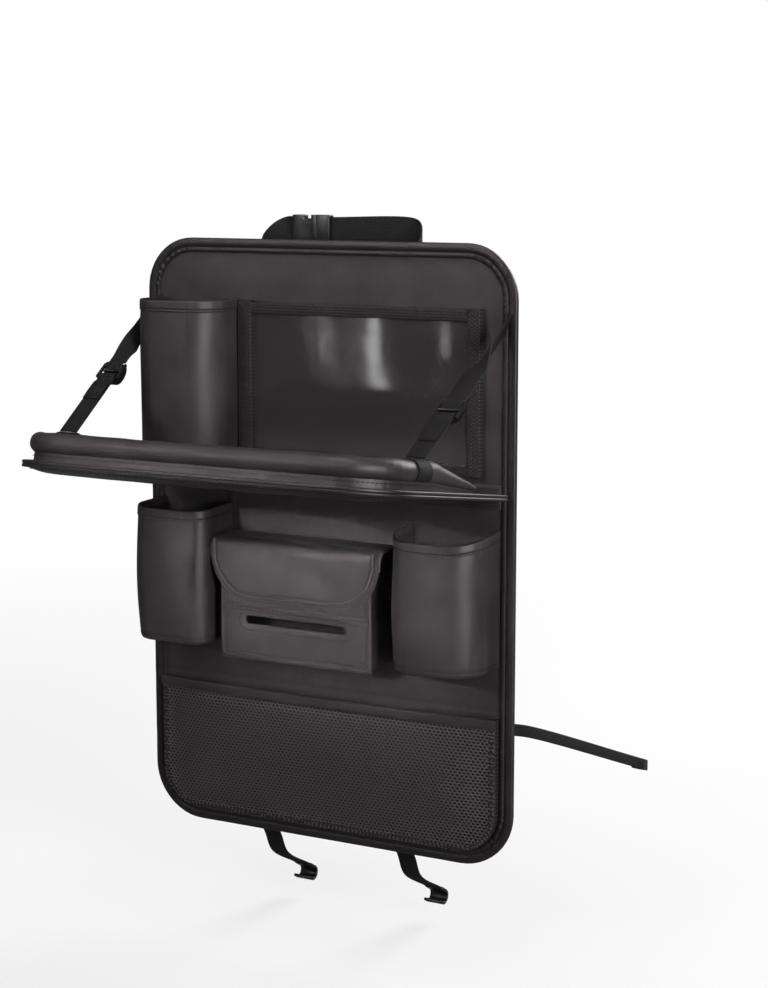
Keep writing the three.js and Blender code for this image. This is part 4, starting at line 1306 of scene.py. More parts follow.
@dataclass
class Window(Part):
    """The tablet pocket: clear film between sewn bands.

    Attributes:
        left, right, foot, top: The film's edges, in mm.
        back, face: Depth of its two faces.
    """

    left: float = -79.0
    right: float = 157.0
    foot: float = 392.0
    top: float = 537.0
    back: float = -11.7
    face: float = -12.5

    def film(self) -> None:
        """A thin sheet with slow waves between its bands."""
        skin = Skin("window_film")
        x = np.linspace(self.left - 3.6, self.right + 3.6, 60)[None]
        h = np.linspace(self.foot - 3.6, self.top - 1, 40)[:, None]
        x, h = np.broadcast_arrays(x, h)
        edge = np.minimum(np.minimum(x - self.left, self.right - x), h - self.foot)
        wave = 0.4 * ripple(x, h, 150, 21) * step(0, 40, edge)
        y = (self.back + self.face) / 2 + wave
        near, far = points_of(x, y - 0.25, h), points_of(x, y + 0.25, h)
        skin.shell(near, far, points_of(x, h))
        piece = self.close(skin, self.wardrobe.film, Slot.FILM, "tablet_window")

    def band(self, name: str, node: str, start: tuple, stop: tuple, width: float, ribs: float,
             shallow: bool = False) -> None:
        """A sewn band: a rounded block carried along a straight line, pleated across.

        Args:
            name, node: Of the piece and its CAD node.
            start, stop: The line's ends as (x, height), along the band's middle.
            width: Of the band.
            ribs: Distance between two pleats, in mm.
            shallow: Whether the band only covers the film's edge and leaves the pocket's mouth open.
        """
        skin = Skin(name)
        a, b = np.array(start, float), np.array(stop, float)
        count = int(np.linalg.norm(b - a) / ribs * 5)
        line = a + (b - a) * np.linspace(0, 1, count)[:, None]
        low, high = (-10.2, self.face - 1.4) if shallow else (SEAM, self.face - 1.4)
        path = upright(line, (low + high) / 2)
        way = unit(path[-1] - path[0])
        across = np.cross(way, INWARD)
        section = block_section(width, abs(high - low), 1.3, 5)
        crown = 1.0 + 0.5 * (1 - (2 * section[:, 0] / width) ** 2) * (section[:, 1] > 0) / abs(high - low)
        section = section * np.stack([np.ones(len(crown)), crown], 1)
        run = length_along(path)[:, None]
        pleat = 0.5 + 0.5 * np.cos(2 * math.pi * run / ribs + 1.5 * ripple(run, 0 * run, 30, 11))
        swell = 1 - 0.05 * pleat * (1 - (np.abs(section[:, 0]) / (width / 2)) ** 4)[None]
        tone = ridge(0.28, 0.06, np.abs(section[:, 0]) / width) * (section[:, 1] > 0)
        skin.sweep(path, across, OUTWARD, section, swell, 0.7 * tone[None])
        for side in (-0.28, 0.28):
            line = path + across * side * width + OUTWARD * (abs(high - low) / 2 + 0.1)
            skin.stitches(line, OUTWARD, Stitch.BAND)
        self.close(skin, self.wardrobe.elastic, Slot.BINDING, node)

    def make(self) -> None:
        """Builds the four bands and the film."""
        foot, top = self.foot - 10, self.top + 3
        left, right, low, high = self.left - 8, self.right + 7, self.foot - 5, self.top - 4
        for word, node, start, stop, width, ribs in (
                ("left", "left", (left, foot), (left, top), 16, 5),
                ("right", "right", (right, foot), (right, top), 14, 2.6),
                ("foot", "bottom", (self.left, low), (self.right, low), 10, 4),
                ("top", "top", (self.left, high), (self.right, high), 11, 3)):
            self.band(f"window_band_{word}", f"tablet_{node}_band", start, stop, width, ribs, word == "top")
        self.film()


@dataclass
class Tray(Part):
    """The fold-up tray with its lip, padded rim, straps and hinge.

    Attributes:
        width, depth, radius: Of the board seen from above, in mm.
        rear: Where the board starts from the hinge.
        top, thickness, bulge: Level of the board, its edge's thickness and how far it sags.
        lip, lip_height: Width and height of the edge tape.
        rim_inset, rim_radius, rim_neck: The roll's distance in, its radius and its neck's height.
        rim_start, rim_slope: Where the rim starts, and its rise.
        patch_reach, patch_length: Where the patches sit along the rim, and their length.
        strap_width, strap_sheet: Of the webbing.
        strap_x, strap_top: Where the straps leave the panel.
    """

    width: float = 404.0
    depth: float = 250.0
    radius: float = 62.0
    rear: float = 0.6
    top: float = 1.0
    thickness: float = 4.5
    bulge: float = 8.0
    lip: float = 3.2
    lip_height: float = 6.4
    rim_inset: float = 16.0
    rim_radius: float = 10.0
    rim_neck: float = 7.0
    rim_start: float = 42.0
    rim_slope: float = 0.212
    patch_reach: float = 162.0
    patch_length: float = 24.0
    strap_width: float = 20.0
    strap_sheet: float = 1.4
    strap_x: float = 197.0
    strap_top: float = 527.0

    def place(self, x: Array, reach: Array, level: Array) -> Array:
        """Where points of the tray's own frame lie on the whole object.

        Args:
            x: To the right.
            reach: Distance from the hinge along the board.
            level: Above the hinge line, square to the board.

        Returns:
            Points (..., 3): the board's frame turned up by its tilt.
        """
        c, s = math.cos(TILT), math.sin(TILT)
        y = HINGE_Y - np.asarray(reach) * c + np.asarray(level) * s
        h = HINGE_HEIGHT + np.asarray(reach) * s + np.asarray(level) * c
        return points_of(x, y, h)

    def outline(self, inset: float, count: int, start: float | None = None) -> Array:
        """The board's outline from the rear right corner round to the rear left one.

        Args:
            inset: Distance in from the edge.
            count: How many points.
            start: Reach of both ends, the board's rear if None.

        Returns:
            Points (count, 2) as x and reach.
        """
        w, far, r = self.width / 2 - inset, self.depth - inset, self.radius - inset
        rear = self.rear if start is None else start
        return cradle(-w, w, -far, -rear, (r, r), 20, count)[::-1] * (1, -1)

    @property
    def square(self) -> Array:
        """The direction square to the board, on the whole object."""
        return np.array([0, math.sin(TILT), math.cos(TILT)])

    def aside(self, path: Array) -> Array:
        """Directions out of the board's outline at each point of a path round it."""
        way = np.cross(self.square, heading(path))
        return way * np.sign((way * (path - path.mean(0))).sum(1, keepdims=True))

    def board(self) -> None:
        """Rows of points between the rounded sides: a calm top, and an underside that sags to its middle."""
        skin = Skin("board_cover")
        inset = self.lip + 0.2
        far = self.depth - inset
        reach = corner_rows(self.rear, far, 0, self.radius - inset, 90)[:, None]
        half = rounded_half(reach, far, self.radius - inset, self.width / 2 - inset)
        x = np.linspace(-1, 1, 141)[None] * half
        reach = np.broadcast_to(reach, x.shape)
        edge = np.minimum(half - np.abs(x), np.minimum(far - reach, reach + 4))
        upper = self.top + 0.25 * ripple(x, reach, 90, 31) * step(0, 25, edge)
        sag = self.bulge * (1 - np.exp(-np.maximum(edge, 0) / 24))
        sag = sag + 0.5 * ripple(x, reach, 80, 32) * step(0, 30, edge)
        lower = self.top - self.thickness - sag
        seam = np.exp(-np.maximum(edge, 0) / 2.0)
        uv = points_of(x, reach)
        skin.shell(self.place(x, reach, upper), self.place(x, reach, lower), uv, seam)
        for inset, level, way in ((10.0, self.top + 0.1, 1), (7.5, self.top - self.thickness - 1.9, -1)):
            line = self.outline(inset, 400, 6.0)
            skin.stitches(self.place(line[:, 0], line[:, 1], level), self.square * way)
        self.close(skin, self.wardrobe.leather, Slot.LEATHER, "tray_board", Body.TRAY)

    def edge_tape(self) -> None:
        """Tape round the board's three free sides, crowned with a groove, carried along the outline."""
        skin = Skin("tray_edge_tape")
        low = self.top - self.thickness - (self.lip_height - self.thickness) / 2
        middle = low + self.lip_height / 2
        line = self.outline(0, 700)
        path = self.place(line[:, 0], line[:, 1], middle)
        half = self.lip_height / 2
        section = np.concatenate([
            [[-self.lip - 2.5, half - 0.2], [-self.lip, half]], arc(-1.3, half - 1.3, 1.3, 90, 25, 4),
            [[-0.1, 0.9], [-0.9, 0.0], [-0.1, -0.9]], arc(-1.3, -half + 1.3, 1.3, -25, -90, 4),
            [[-self.lip, -half], [-self.lip - 2.5, -half + 0.2]]])
        run = length_along(path)[:, None]
        wave = 1 + 0.03 * beat(run, 7, 2 * ripple(run, 0 * run, 50, 33))
        tone = np.broadcast_to((np.abs(section[:, 1]) < 0.3)[None] * 0.9, (len(path), len(section)))
        skin.sweep(path, self.aside(path), self.square, section, wave, tone)
        self.close(skin, self.wardrobe.binding, Slot.BINDING, "tray_lip", Body.TRAY)

    def rim(self) -> None:
        """The padded roll on its neck.

        The section, a roll on a narrow neck, follows the outline. It tapers down both sides, and
        gathers pinch it at the corners: radius times 1 plus a small sine of the distance.
        """
        skin = Skin("tray_rim_roll")
        seat = self.top + 0.3
        tall = self.rim_neck + 2 * self.rim_radius
        line = self.outline(self.rim_inset, 620, self.rim_start)
        path = self.place(line[:, 0], line[:, 1], seat)
        aside = self.aside(path)
        roll = arc(0, self.rim_neck + self.rim_radius, self.rim_radius, -60, 240, 30)
        section = np.concatenate([roll, [[-5.3, 5.0], [-5.6, 0.0], [5.6, 0.0], [5.3, 5.0]]])
        scale = np.minimum(1, (line[:, 1] * self.rim_slope - seat) / tall)[:, None]
        run = length_along(path)[:, None]
        turn = np.linalg.norm(np.gradient(heading(path), axis=0), axis=1)[:, None]
        corner = np.clip(turn / turn.max() * 1.3, 0, 1)
        height = section[None, :, 1] / tall
        pinch = beat(run, 8.5, 3 * ripple(run, 0 * run, 40, 35))
        fold = 0.022 * corner * pinch * (1 - height) + 0.012 * ripple(run, height * 90, 45, 36)
        tone = np.exp(-((height - 0.27) / 0.03) ** 2) * np.ones_like(run)
        skin.sweep(path, aside, self.square, section, scale * (1 + fold), 0.8 * tone)
        for side in (-1, 1):
            seam = path + aside * side * 6.2 * scale + self.square * 5.4 * scale
            skin.stitches(seam[20:-20], (aside * side)[20:-20])
        piece = self.close(skin, self.wardrobe.leather, Slot.LEATHER, "tray_rim_pad", Body.TRAY)

    def patch(self, side: int, word: str) -> None:
        """Webbing bent over the roll where a strap is sewn down, with a boxed seam.

        Args:
            side: -1 for left, 1 for right.
            word: "left" or "right".
        """
        skin = Skin(f"patch_{word}")
        a = np.radians(np.linspace(-40, 150, 50))[None]
        reach = np.linspace(-self.patch_length / 2, self.patch_length / 2, 14)[:, None] + self.patch_reach
        centre = self.top + 0.3 + self.rim_neck + self.rim_radius
        x = side * (self.width / 2 - self.rim_inset)

        def bent(radius: float) -> Array:
            """Points at a radius round the roll's axis."""
            return self.place(x + side * radius * np.cos(a), reach, centre + radius * np.sin(a))

        uv = points_of(a * 11.5, reach)
        skin.shell(bent(self.rim_radius + 1.9), bent(self.rim_radius + 0.3), uv)
        r = self.rim_radius + 2.0
        for low, high in ((-30, 25), (60, 140)):
            turn = np.radians(np.linspace(low, high, 24))
            for edge in (-9.5, 9.5):
                line = self.place(x + side * r * np.cos(turn), self.patch_reach + edge + 0 * turn,
                                  centre + r * np.sin(turn))
                skin.stitches(line, unit(line - self.place(x, self.patch_reach + edge, centre)),
                              Stitch.PATCH)
        self.close(skin, self.wardrobe.webbing, Slot.WEBBING, f"strap_patch_{word}", Body.TRAY)

    def strap_ends(self, side: int) -> tuple:
        """Both ends of a strap.

        Args:
            side: -1 for left, 1 for right.

        Returns:
            Where it leaves the panel and where it meets its patch.
        """
        head = np.array([side * self.strap_x, FRONT - 1.6 - 0.3 - 0.35, self.strap_top])
        level = self.top + 0.3 + self.rim_neck + 2 * self.rim_radius + 0.3 + 1.6 + 0.3 + 0.35
        return head, self.place(side * (self.width / 2 - self.rim_inset), self.patch_reach, level)

    def strap(self, side: int, word: str, share: float, ratio: float) -> None:
        """Webbing that leaves the panel edge on, turns flat and weaves through its slider.

        The turn eases from 1.25 radians to none, and the weave is a cosine across the slider's bars.

        Args:
            side: -1 for left, 1 for right.
            word: "left" or "right".
            share: How far along the strap its slider sits.
            ratio: How much of the tray's turn the slider takes, which the strap takes there too; not used.
        """
        skin = Skin(f"support_strap_{word}")
        head, tail = self.strap_ends(side)
        run = tail - head
        long = float(np.linalg.norm(run))
        along = run / long
        normal = unit(np.cross(along, RIGHT))
        t = np.unique(np.concatenate([
            np.linspace(0, 1, 70), np.linspace(share - 18 / long, share + 18 / long, 60)]))[:, None]
        s = (t - share) * long
        near = 1 - step(9, 17.1, np.abs(s))
        wave = -2.6 * np.cos(math.pi * s / 9) * near
        path = head + run * t + normal * wave
        turn = (1 - step(0.2, 0.41, t)) * -1.25 * side
        u = np.concatenate([np.cos(turn), 0 * turn, -np.sin(turn)], 1)
        v = unit(np.cross(along, u))
        section = block_section(self.strap_width, self.strap_sheet, 0.6, 3)
        skin.sweep(path, u, v, section)
        for edge in (-8.2, 8.2):
            skin.stitches((path + u * edge + v * 0.75)[-14:], v[-14:], Stitch.PATCH)
        self.slack(skin, head + run * share, along, normal)
        piece = self.close(skin, self.wardrobe.webbing, Slot.WEBBING, f"tray_strap_{word}", None)
        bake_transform(piece)

    def slack(self, skin: Skin, centre: Array, along: Array, normal: Array) -> None:
        """The loose loop of webbing under a slider and the doubled end that is sewn back above it.

        The loop is half an ellipse; the end lies a webbing's thickness off the strap.

        Args:
            skin: The strap's skin.
            centre: The slider's middle.
            along, normal: The strap's own directions.
        """
        a = np.radians(np.linspace(8, 172, 40))[:, None]
        loop = centre + along * 13 * np.cos(a) - normal * (2.4 + 8.5 * np.sin(a) ** 0.8)
        section = block_section(self.strap_width - 1.5, self.strap_sheet, 0.6, 3)
        skin.sweep(loop, RIGHT, unit(np.cross(heading(loop), RIGHT)), section)
        t = np.linspace(0, 1, 30)[:, None]
        end = centre + along * (19 + 26 * t) + normal * (1.7 + 0.5 * np.sin(math.pi * t))
        skin.sweep(end, RIGHT, unit(np.cross(along, RIGHT)), section)
        for edge in (-7.5, 7.5):
            skin.stitches(end[3:-3] + RIGHT * edge + normal * 0.75, normal, Stitch.PATCH)

    def slider(self, word: str, body: Body) -> None:
        """The three-bar slider, moulded.

        Args:
            word: "left" or "right".
            body: The slider's own.
        """
        node = f"strap_slider_{word}"
        piece = moulded_copy(node, f"slider_{word}", self.wardrobe.plastic, 0.5)
        settle(piece, body, node)

    def hinge(self) -> None:
        """The leather strip that the tray folds on: sewn flat to the panel, then out to the board.

        Its profile is a flat run, a quarter bend and a short tongue, stood off by soft waves.
        """
        skin = Skin("hinge_leather")
        profile = np.concatenate([
            [[SEAM - 1.6, HINGE_HEIGHT - 14], [SEAM - 1.8, HINGE_HEIGHT - 9]],
            arc(SEAM - 5.2, HINGE_HEIGHT - 4.0, 3.2, 0, 90, 8),
            [[-13.2, HINGE_HEIGHT - 0.7], [-14.2, HINGE_HEIGHT - 0.6], [-15.6, HINGE_HEIGHT - 0.7]]])
        profile = resample(profile, 22)
        x = np.linspace(-190, 190, 110)[None]
        y, h = profile[:, :1], profile[:, 1:]
        wave = 0.25 * ripple(x, h * 3, 36, 41)
        over = points_of(x, y - wave, h)
        flat = (h < HINGE_HEIGHT - 4)[..., None]
        under = over + np.where(flat, 0.9 * INWARD, -0.9 * UPWARD)
        skin.shell(over, under, points_of(x, h))
        band = points_of(x, SEAM - 1.3 + 0.2 * ripple(x, 0 * x, 30, 42),
                         np.linspace(HINGE_HEIGHT - 14, HINGE_HEIGHT + 8, 8)[:, None])
        skin.shell(band, band + 1.2 * INWARD, band[..., [0, 2]])
        for level, lift in ((HINGE_HEIGHT - 11.5, 1.9), (HINGE_HEIGHT + 5.5, 1.4)):
            skin.stitches(points_of(x[0], SEAM - lift, level), OUTWARD)
        piece = self.close(skin, self.wardrobe.leather, Slot.LEATHER, "tray_hinge_strip", None)
        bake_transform(piece)

    def make(self) -> None:
        """Builds the tray and all that carries it."""
        self.board()
        self.edge_tape()
        self.rim()
        self.hinge()
        for side, word, share, ratio, body in (
                (-1, "left", 0.52, 0.55, Body.SLIDER_LEFT), (1, "right", 0.66, 0.74, Body.SLIDER_RIGHT)):
            self.patch(side, word)
            self.strap(side, word, share, ratio)
            self.slider(word, body)


@dataclass
class TissueBox(Part):
    """The lidded tissue box on the panel.

    Attributes:
        left, right, depth, foot, top: Of the box, in mm.
        wall, bend: Thickness of its walls and radius of its lower corners.
        slot_width, slot_height, slot_level: The slot in its front.
        seam_rise: How far above the slot the front's level seam runs.
        margin, lid_foot, lid_radius, lid_level: The lid's overhang, lower edge, corners and top.
        crown, sheet, lid_gap: The lid's front bend, its thickness, and how far it hangs off the front.
    """

    left: float = -93.0
    right: float = 75.0
    depth: float = 45.0
    foot: float = 190.0
    top: float = 300.0
    wall: float = 2.5
    bend: float = 6.0
    slot_width: float = 116.0
    slot_height: float = 11.0
    slot_level: float = 229.0
    seam_rise: float = 13.5
    margin: float = 10.5
    lid_foot: float = 249.0
    lid_radius: float = 47.0
    lid_level: float = 309.0
    crown: float = 13.0
    sheet: float = 2.6
    lid_gap: float = 4.4

    @property
    def middle(self) -> float:
        """The box's middle in x."""
        return (self.left + self.right) / 2

    def face(self, x: Array, h: Array) -> tuple:
        """Depth of the front wall and its seam depth.

        The wall swells by a half sine both ways, rolls in at the slot and sinks along its seams.

        Args:
            x, h: Places on the front.

        Returns:
            (y in mm, seam depth 0 to 1).
        """
        w, end = (self.right - self.left) / 2, (self.slot_width - self.slot_height) / 2
        aside = np.abs(x - self.middle)
        near = np.hypot(np.maximum(aside - end, 0), h - self.slot_level) - self.slot_height / 2
        across = np.cos(math.pi / 2 * np.minimum(aside / w, 1)) ** 0.7
        up = np.sin(math.pi * np.clip((h - self.foot) / (self.top - self.foot), 0, 1)) ** 0.7
        cut = ridge(self.slot_level + self.seam_rise, 1.1, h) * step(4, 7, w - aside)
        cut = np.maximum(cut, np.maximum(ridge(w - 6.0, 1.0, aside), ridge(self.foot + 5.0, 1.0, h)))
        out = (1.6 + 0.35 * ripple(x, h, 60, 51)) * across * up + 0.5 * ridge(2.6, 1.4, near) - 0.7 * cut
        edge = np.exp(-np.minimum(w - aside, h - self.foot) / 2)
        ring = ridge(5.0, 0.8, near)
        return SEAM - self.depth - out + 0.4 * ring, np.clip(np.maximum(ring, cut) + edge, 0, 1)

    def front(self, skin: Skin) -> None:
        """The front wall as rings: even steps out from the slot's lip, then a blend to the box's edges.

        Args:
            skin: Where the wall is added.
        """
        end, r = (self.slot_width - self.slot_height) / 2, self.slot_height / 2
        lip = np.concatenate([arc(self.middle + end, self.slot_level, r, -90, 90, 24),
                              arc(self.middle - end, self.slot_level, r, 90, 270, 24)])
        lip = resample(np.concatenate([lip, lip[:1]]), 241)
        core = points_of(self.middle + np.clip(lip[:, 0] - self.middle, -end, end), self.slot_level)
        a = np.arctan2((lip[:, 1] - self.slot_level) * 8, lip[:, 0] - self.middle)
        w, high, low = (self.right - self.left) / 2, self.top - self.slot_level, self.slot_level - self.foot
        c, s = np.cos(a), np.sin(a)
        reach = np.minimum(w / np.maximum(np.abs(c), 1e-6),
                           np.where(s > 0, high, low) / np.maximum(np.abs(s), 1e-6))
        rim = points_of(self.middle + c * reach, self.slot_level + s * reach)
        rings = lip + unit(lip - core) * np.linspace(0, 8, 13)[:, None, None]
        share = np.linspace(0.03, 1, 32)[:, None, None]
        flat = np.concatenate([rings, rings[-1] + (rim - rings[-1]) * share])
        x, h = flat[..., 0], flat[..., 1]
        y, seam = self.face(x, h)
        inner = points_of(x, self.wall + 0.4 * (SEAM - self.depth) + 0.6 * y, h)
        skin.shell(points_of(x, y, h), inner, flat, seam)
        line = lip + unit(lip - core) * 5.0
        level = points_of(np.linspace(self.left + 4, self.right - 4, 160),
                          self.slot_level + self.seam_rise + 2.4)
        for run in (line, level):
            depth = self.face(run[:, 0], run[:, 1])[0]
            skin.stitches(np.insert(run, 1, depth, 1), OUTWARD, Stitch.BOX)

    def walls(self, skin: Skin) -> None:
        """Both sides and the floor as one bent sheet, its profile a U seen from the front.

        Args:
            skin: Where the walls are added.
        """
        line = cradle(self.left, self.right, self.foot, self.top, (self.bend, self.bend), 8, 150)
        way = heading(line)
        out = points_of(way[:, 1], -way[:, 0])
        y = np.linspace(SEAM, SEAM - self.depth, 26)[:, None]
        run = length_along(line)[None]
        swell = np.sin(math.pi * (y - SEAM) / self.depth) ** 2 * np.sin(math.pi * run / run.max()) ** 0.5
        wave = swell + 0.3 * ripple(run, y * 2, 40, 52)
        outer = points_of(line[:, 0] + out[:, 0] * wave, y, line[:, 1] + out[:, 1] * wave)
        inner = points_of(line[:, 0] - out[:, 0] * self.wall, y, line[:, 1] - out[:, 1] * self.wall)
        skin.shell(outer, inner, points_of(run, y), np.exp(-np.abs(y - SEAM) / 2) + 0 * run)

    def piping(self, skin: Skin) -> None:
        """Corded edges up both front corners and across the foot, a circle carried round a U.

        Args:
            skin: Where the piping is added.
        """
        inset, r = 0.6, self.bend - 0.6
        line = cradle(self.left + inset, self.right - inset, self.foot + inset, self.top - 6, (r, r), 10,
                      260)
        skin.cord(upright(line, SEAM - self.depth + 0.4), 1.5, 5, 0.05, 0.15)

    def box(self) -> None:
        """Front, walls and piping as one piece."""
        skin = Skin("box_walls")
        self.front(skin)
        self.walls(skin)
        self.piping(skin)
        self.close(skin, self.wardrobe.leather, Slot.LEATHER, "tissue_box")

    def trim(self) -> None:
        """Two rounded ribs sewn across the front above the slot."""
        skin = Skin("slot_trim")
        x = np.linspace(self.left + 3, self.right - 3, 200)
        for level in (237.75, 241.25):
            bow = 1.6 * np.cos(math.pi * (x - self.middle) / (self.right - self.left)) ** 0.7
            path = points_of(x, SEAM - self.depth - 0.3 - bow, level)
            swell = 1 + 0.06 * beat(x, 4.2)[:, None]
            skin.sweep(path, UPWARD, OUTWARD, arc(0, 0, 1.8, 0, 330, 11), swell, 0.1)
        self.close(skin, self.wardrobe.leather, Slot.BINDING, "tissue_slot_trim")

    def lid_profile(self, x: Array, t: Array) -> Array:
        """Points of the lid's outside.

        Along t the lid runs forward over the box, round its crown and down to the rounded foot,
        whose height follows the circle of its corners.

        Args:
            x: Distance from the lid's middle.
            t: Share of the way from the hinge to the lower edge.

        Returns:
            Points (..., 3).
        """
        face = SEAM - self.depth - self.lid_gap
        rear, level, r = SEAM - 2.5, self.lid_level, self.crown
        half = (self.right - self.left) / 2 + self.margin
        over = np.maximum(0, np.abs(x) - (half - self.lid_radius))
        drop = np.sqrt(np.maximum(0, self.lid_radius**2 - over**2))
        foot = np.minimum(self.lid_foot + self.lid_radius - drop, level - r - 5)
        top_run = rear - (face + r)
        bend = r * math.pi / 2
        down = level + 1 - r - foot
        total = top_run + bend + down
        s = t * total
        a = np.clip((s - top_run) / r, 0, math.pi / 2)
        y = rear - np.minimum(s, top_run) - r * np.sin(a)
        h = level + 1 - r * (1 - np.cos(a)) - np.clip(s - top_run - bend, 0, None)
        h = h - 1.0 * (1 - step(0, 14, s))
        tuck = 1.2 * np.abs(x / half) ** 6
        return points_of(self.middle + x, y + tuck * step(0.4, 0.8, t), h)

    def lid(self) -> None:
        """The lid: a bent sheet with soft waves, darker at its lower edge."""
        skin = Skin("tissue_lid")
        half = (self.right - self.left) / 2 + self.margin
        x = (half * np.sin(np.linspace(-math.pi / 2, math.pi / 2, 111)))[None]
        t = np.linspace(0, 1, 74)[:, None]
        outer = self.lid_profile(x, t)
        normal = unit(np.cross(np.gradient(outer, axis=0), RIGHT))
        normal = normal * np.where((normal[..., 1:2] > 0.2) | (normal[..., 2:] < -0.2), -1, 1)
        crown = np.sin(math.pi * t) * np.cos(math.pi * x / (2 * half)) ** 0.6
        soft = 0.5 * ripple(x, t * 110, 55, 61) + 0.7 * crown
        outer = outer + normal * soft[..., None] * step(0.02, 0.1, t)[..., None]
        inner = outer - normal * self.sheet
        seam = np.exp(-(1 - t) * 60) + 0 * x
        skin.shell(outer, inner, points_of(x, t * 130), np.clip(seam, 0, 1))
        piece = self.close(skin, self.wardrobe.leather, Slot.LEATHER, "tissue_flap", Body.FLAP)

    def lid_piping(self) -> None:
        """A corded line that follows the lid's lower edge a little way in, with stitches beside it."""
        skin = Skin("lid_piping")
        inset = 6.0
        half = (self.right - self.left) / 2 + self.margin - inset
        r, foot = self.lid_radius - inset, self.lid_foot + inset
        line = cradle(-half, half, foot, foot + r + 12, (r, r), 24, 300)[::-1]
        bow = 0.7 * np.cos(math.pi * line[:, 0] / (2 * half + 12)) ** 0.6
        path = upright(line + (self.middle, 0), SEAM - self.depth - self.lid_gap - 0.6 - bow)
        skin.cord(path, 1.7, 4.6, 0.06, 0.1)
        beside = np.cross(heading(path), INWARD) * 3.2
        for way in (beside, -beside):
            skin.stitches(path + way + 0.2 * OUTWARD, OUTWARD, Stitch.BAND)
        self.close(skin, self.wardrobe.leather, Slot.BINDING, "tissue_flap_piping", Body.FLAP)

    def make(self) -> None:
        """Builds box, trim, lid and piping."""
        self.box()
        self.trim()
        self.lid()
        self.lid_piping()


@dataclass
class Pouch(Part):
    """The net pouch across the panel's foot.

    Attributes:
        panel: The panel that it is sewn to.
        margin: Distance in from the panel's binding.
        top, depth, rim, tape: The net's upper edge, the pouch's depth, its side band and top binding.
    """

    panel: Panel
    margin: float = 14.6
    top: float = 147.0
    depth: float = 8.0
    rim: float = 8.0
    tape: float = 10.0

    def plan(self, inset: float, count: int) -> Array:
        """The pouch's U from its upper right end down and round to its upper left end.

        Args:
            inset: Distance in from the margin.
            count: How many points.

        Returns:
            Points (count, 2).
        """
        w, low = self.panel.width / 2 - self.margin - inset, self.margin + inset
        r = self.panel.foot_radius - self.margin - inset
        return cradle(-w, w, low, self.top + 2, (r, r), 16, count)[::-1]

    def side_band(self) -> None:
        """A gathered band that stands the net off the panel, a rounded block carried round the U."""
        skin = Skin("pouch_side_band")
        line = self.plan(self.rim / 2, 760)
        path = upright(line, SEAM - self.depth / 2 - 0.6)
        section = block_section(self.rim, self.depth + 1.0, 1.6, 5)
        run = length_along(path)[:, None]
        pleat = beat(run, 4.4, 2 * ripple(run, 0 * run, 40, 71))
        swell = 1 + 0.035 * pleat * (np.abs(section[None, :, 1]) > 2)
        skin.sweep(path, np.cross(heading(path), INWARD), INWARD, section, swell, 0.25 - 0.25 * pleat)
        skin.stitches(path + OUTWARD * (self.depth / 2 + 0.6), OUTWARD, Stitch.POUCH)
        self.close(skin, self.wardrobe.elastic, Slot.BINDING, "mesh_gusset")

    def net(self) -> None:
        """The net: rows between the rounded sides, swollen towards the middle and the mouth.

        Stand-off rises smoothly from the sewn edges, with soft sags, and eases under the mouth's band.
        """
        skin = Skin("pouch_net")
        low = self.margin + 1
        h = corner_rows(low, self.top - 2, self.panel.foot_radius - self.margin, 0, 46)[:, None]
        half = self.panel.half(h, self.margin + 1)
        x = np.linspace(-1, 1, 141)[None] * half
        h = np.broadcast_to(h, x.shape)
        edge = np.minimum(half - np.abs(x), h - low)
        out = 4.2 * step(6, 60, edge) + 0.9 * ripple(x, h, 120, 72) * step(4, 30, edge)
        out = np.maximum(out, 0) * (1 - 0.5 * step(self.top - 18, self.top - 9, h))
        y = SEAM - self.depth - 1.1 - out
        near, far = points_of(x, y, h), points_of(x, y + 0.35, h)
        skin.shell(near, far, points_of(x, h))
        piece = self.close(skin, self.wardrobe.net, Slot.MESH, "mesh_panel")

    def mouth(self) -> None:
        """The leather band along the pouch's mouth: a grooved block carried across, bowed forward."""
        skin = Skin("pouch_mouth_band")
        half = self.panel.width / 2 - self.margin
        x = np.linspace(-half, half, 420)
        bow = 3.4 * np.cos(math.pi * x / (2 * half)) ** 0.5 * step(0, 40, half - np.abs(x))
        level = self.top + 3 - self.tape / 2 - 0.8 * np.cos(math.pi * x / (2 * half))
        path = points_of(x, SEAM - self.depth - 1.2 - bow, level)
        section = block_section(self.tape, 3.0, 1.2, 7)
        run = x[:, None]
        pull = 1 + 0.035 * ripple(run, 0 * run, 14, 73)
        groove = (ridge(-2.6, 1.0, section[:, 0]) * (section[:, 1] > 0))[None]
        skin.sweep(path, UPWARD, OUTWARD, section, pull * (1 - 0.10 * groove), 0.8 * groove)
        skin.stitches(path + np.array([0, -1.45, -2.6]), OUTWARD, Stitch.MOUTH)
        self.close(skin, self.wardrobe.leather, Slot.BINDING, "mesh_top_binding")

    def make(self) -> None:
        """Builds band, net and mouth."""
        self.side_band()
        self.net()
        self.mouth()


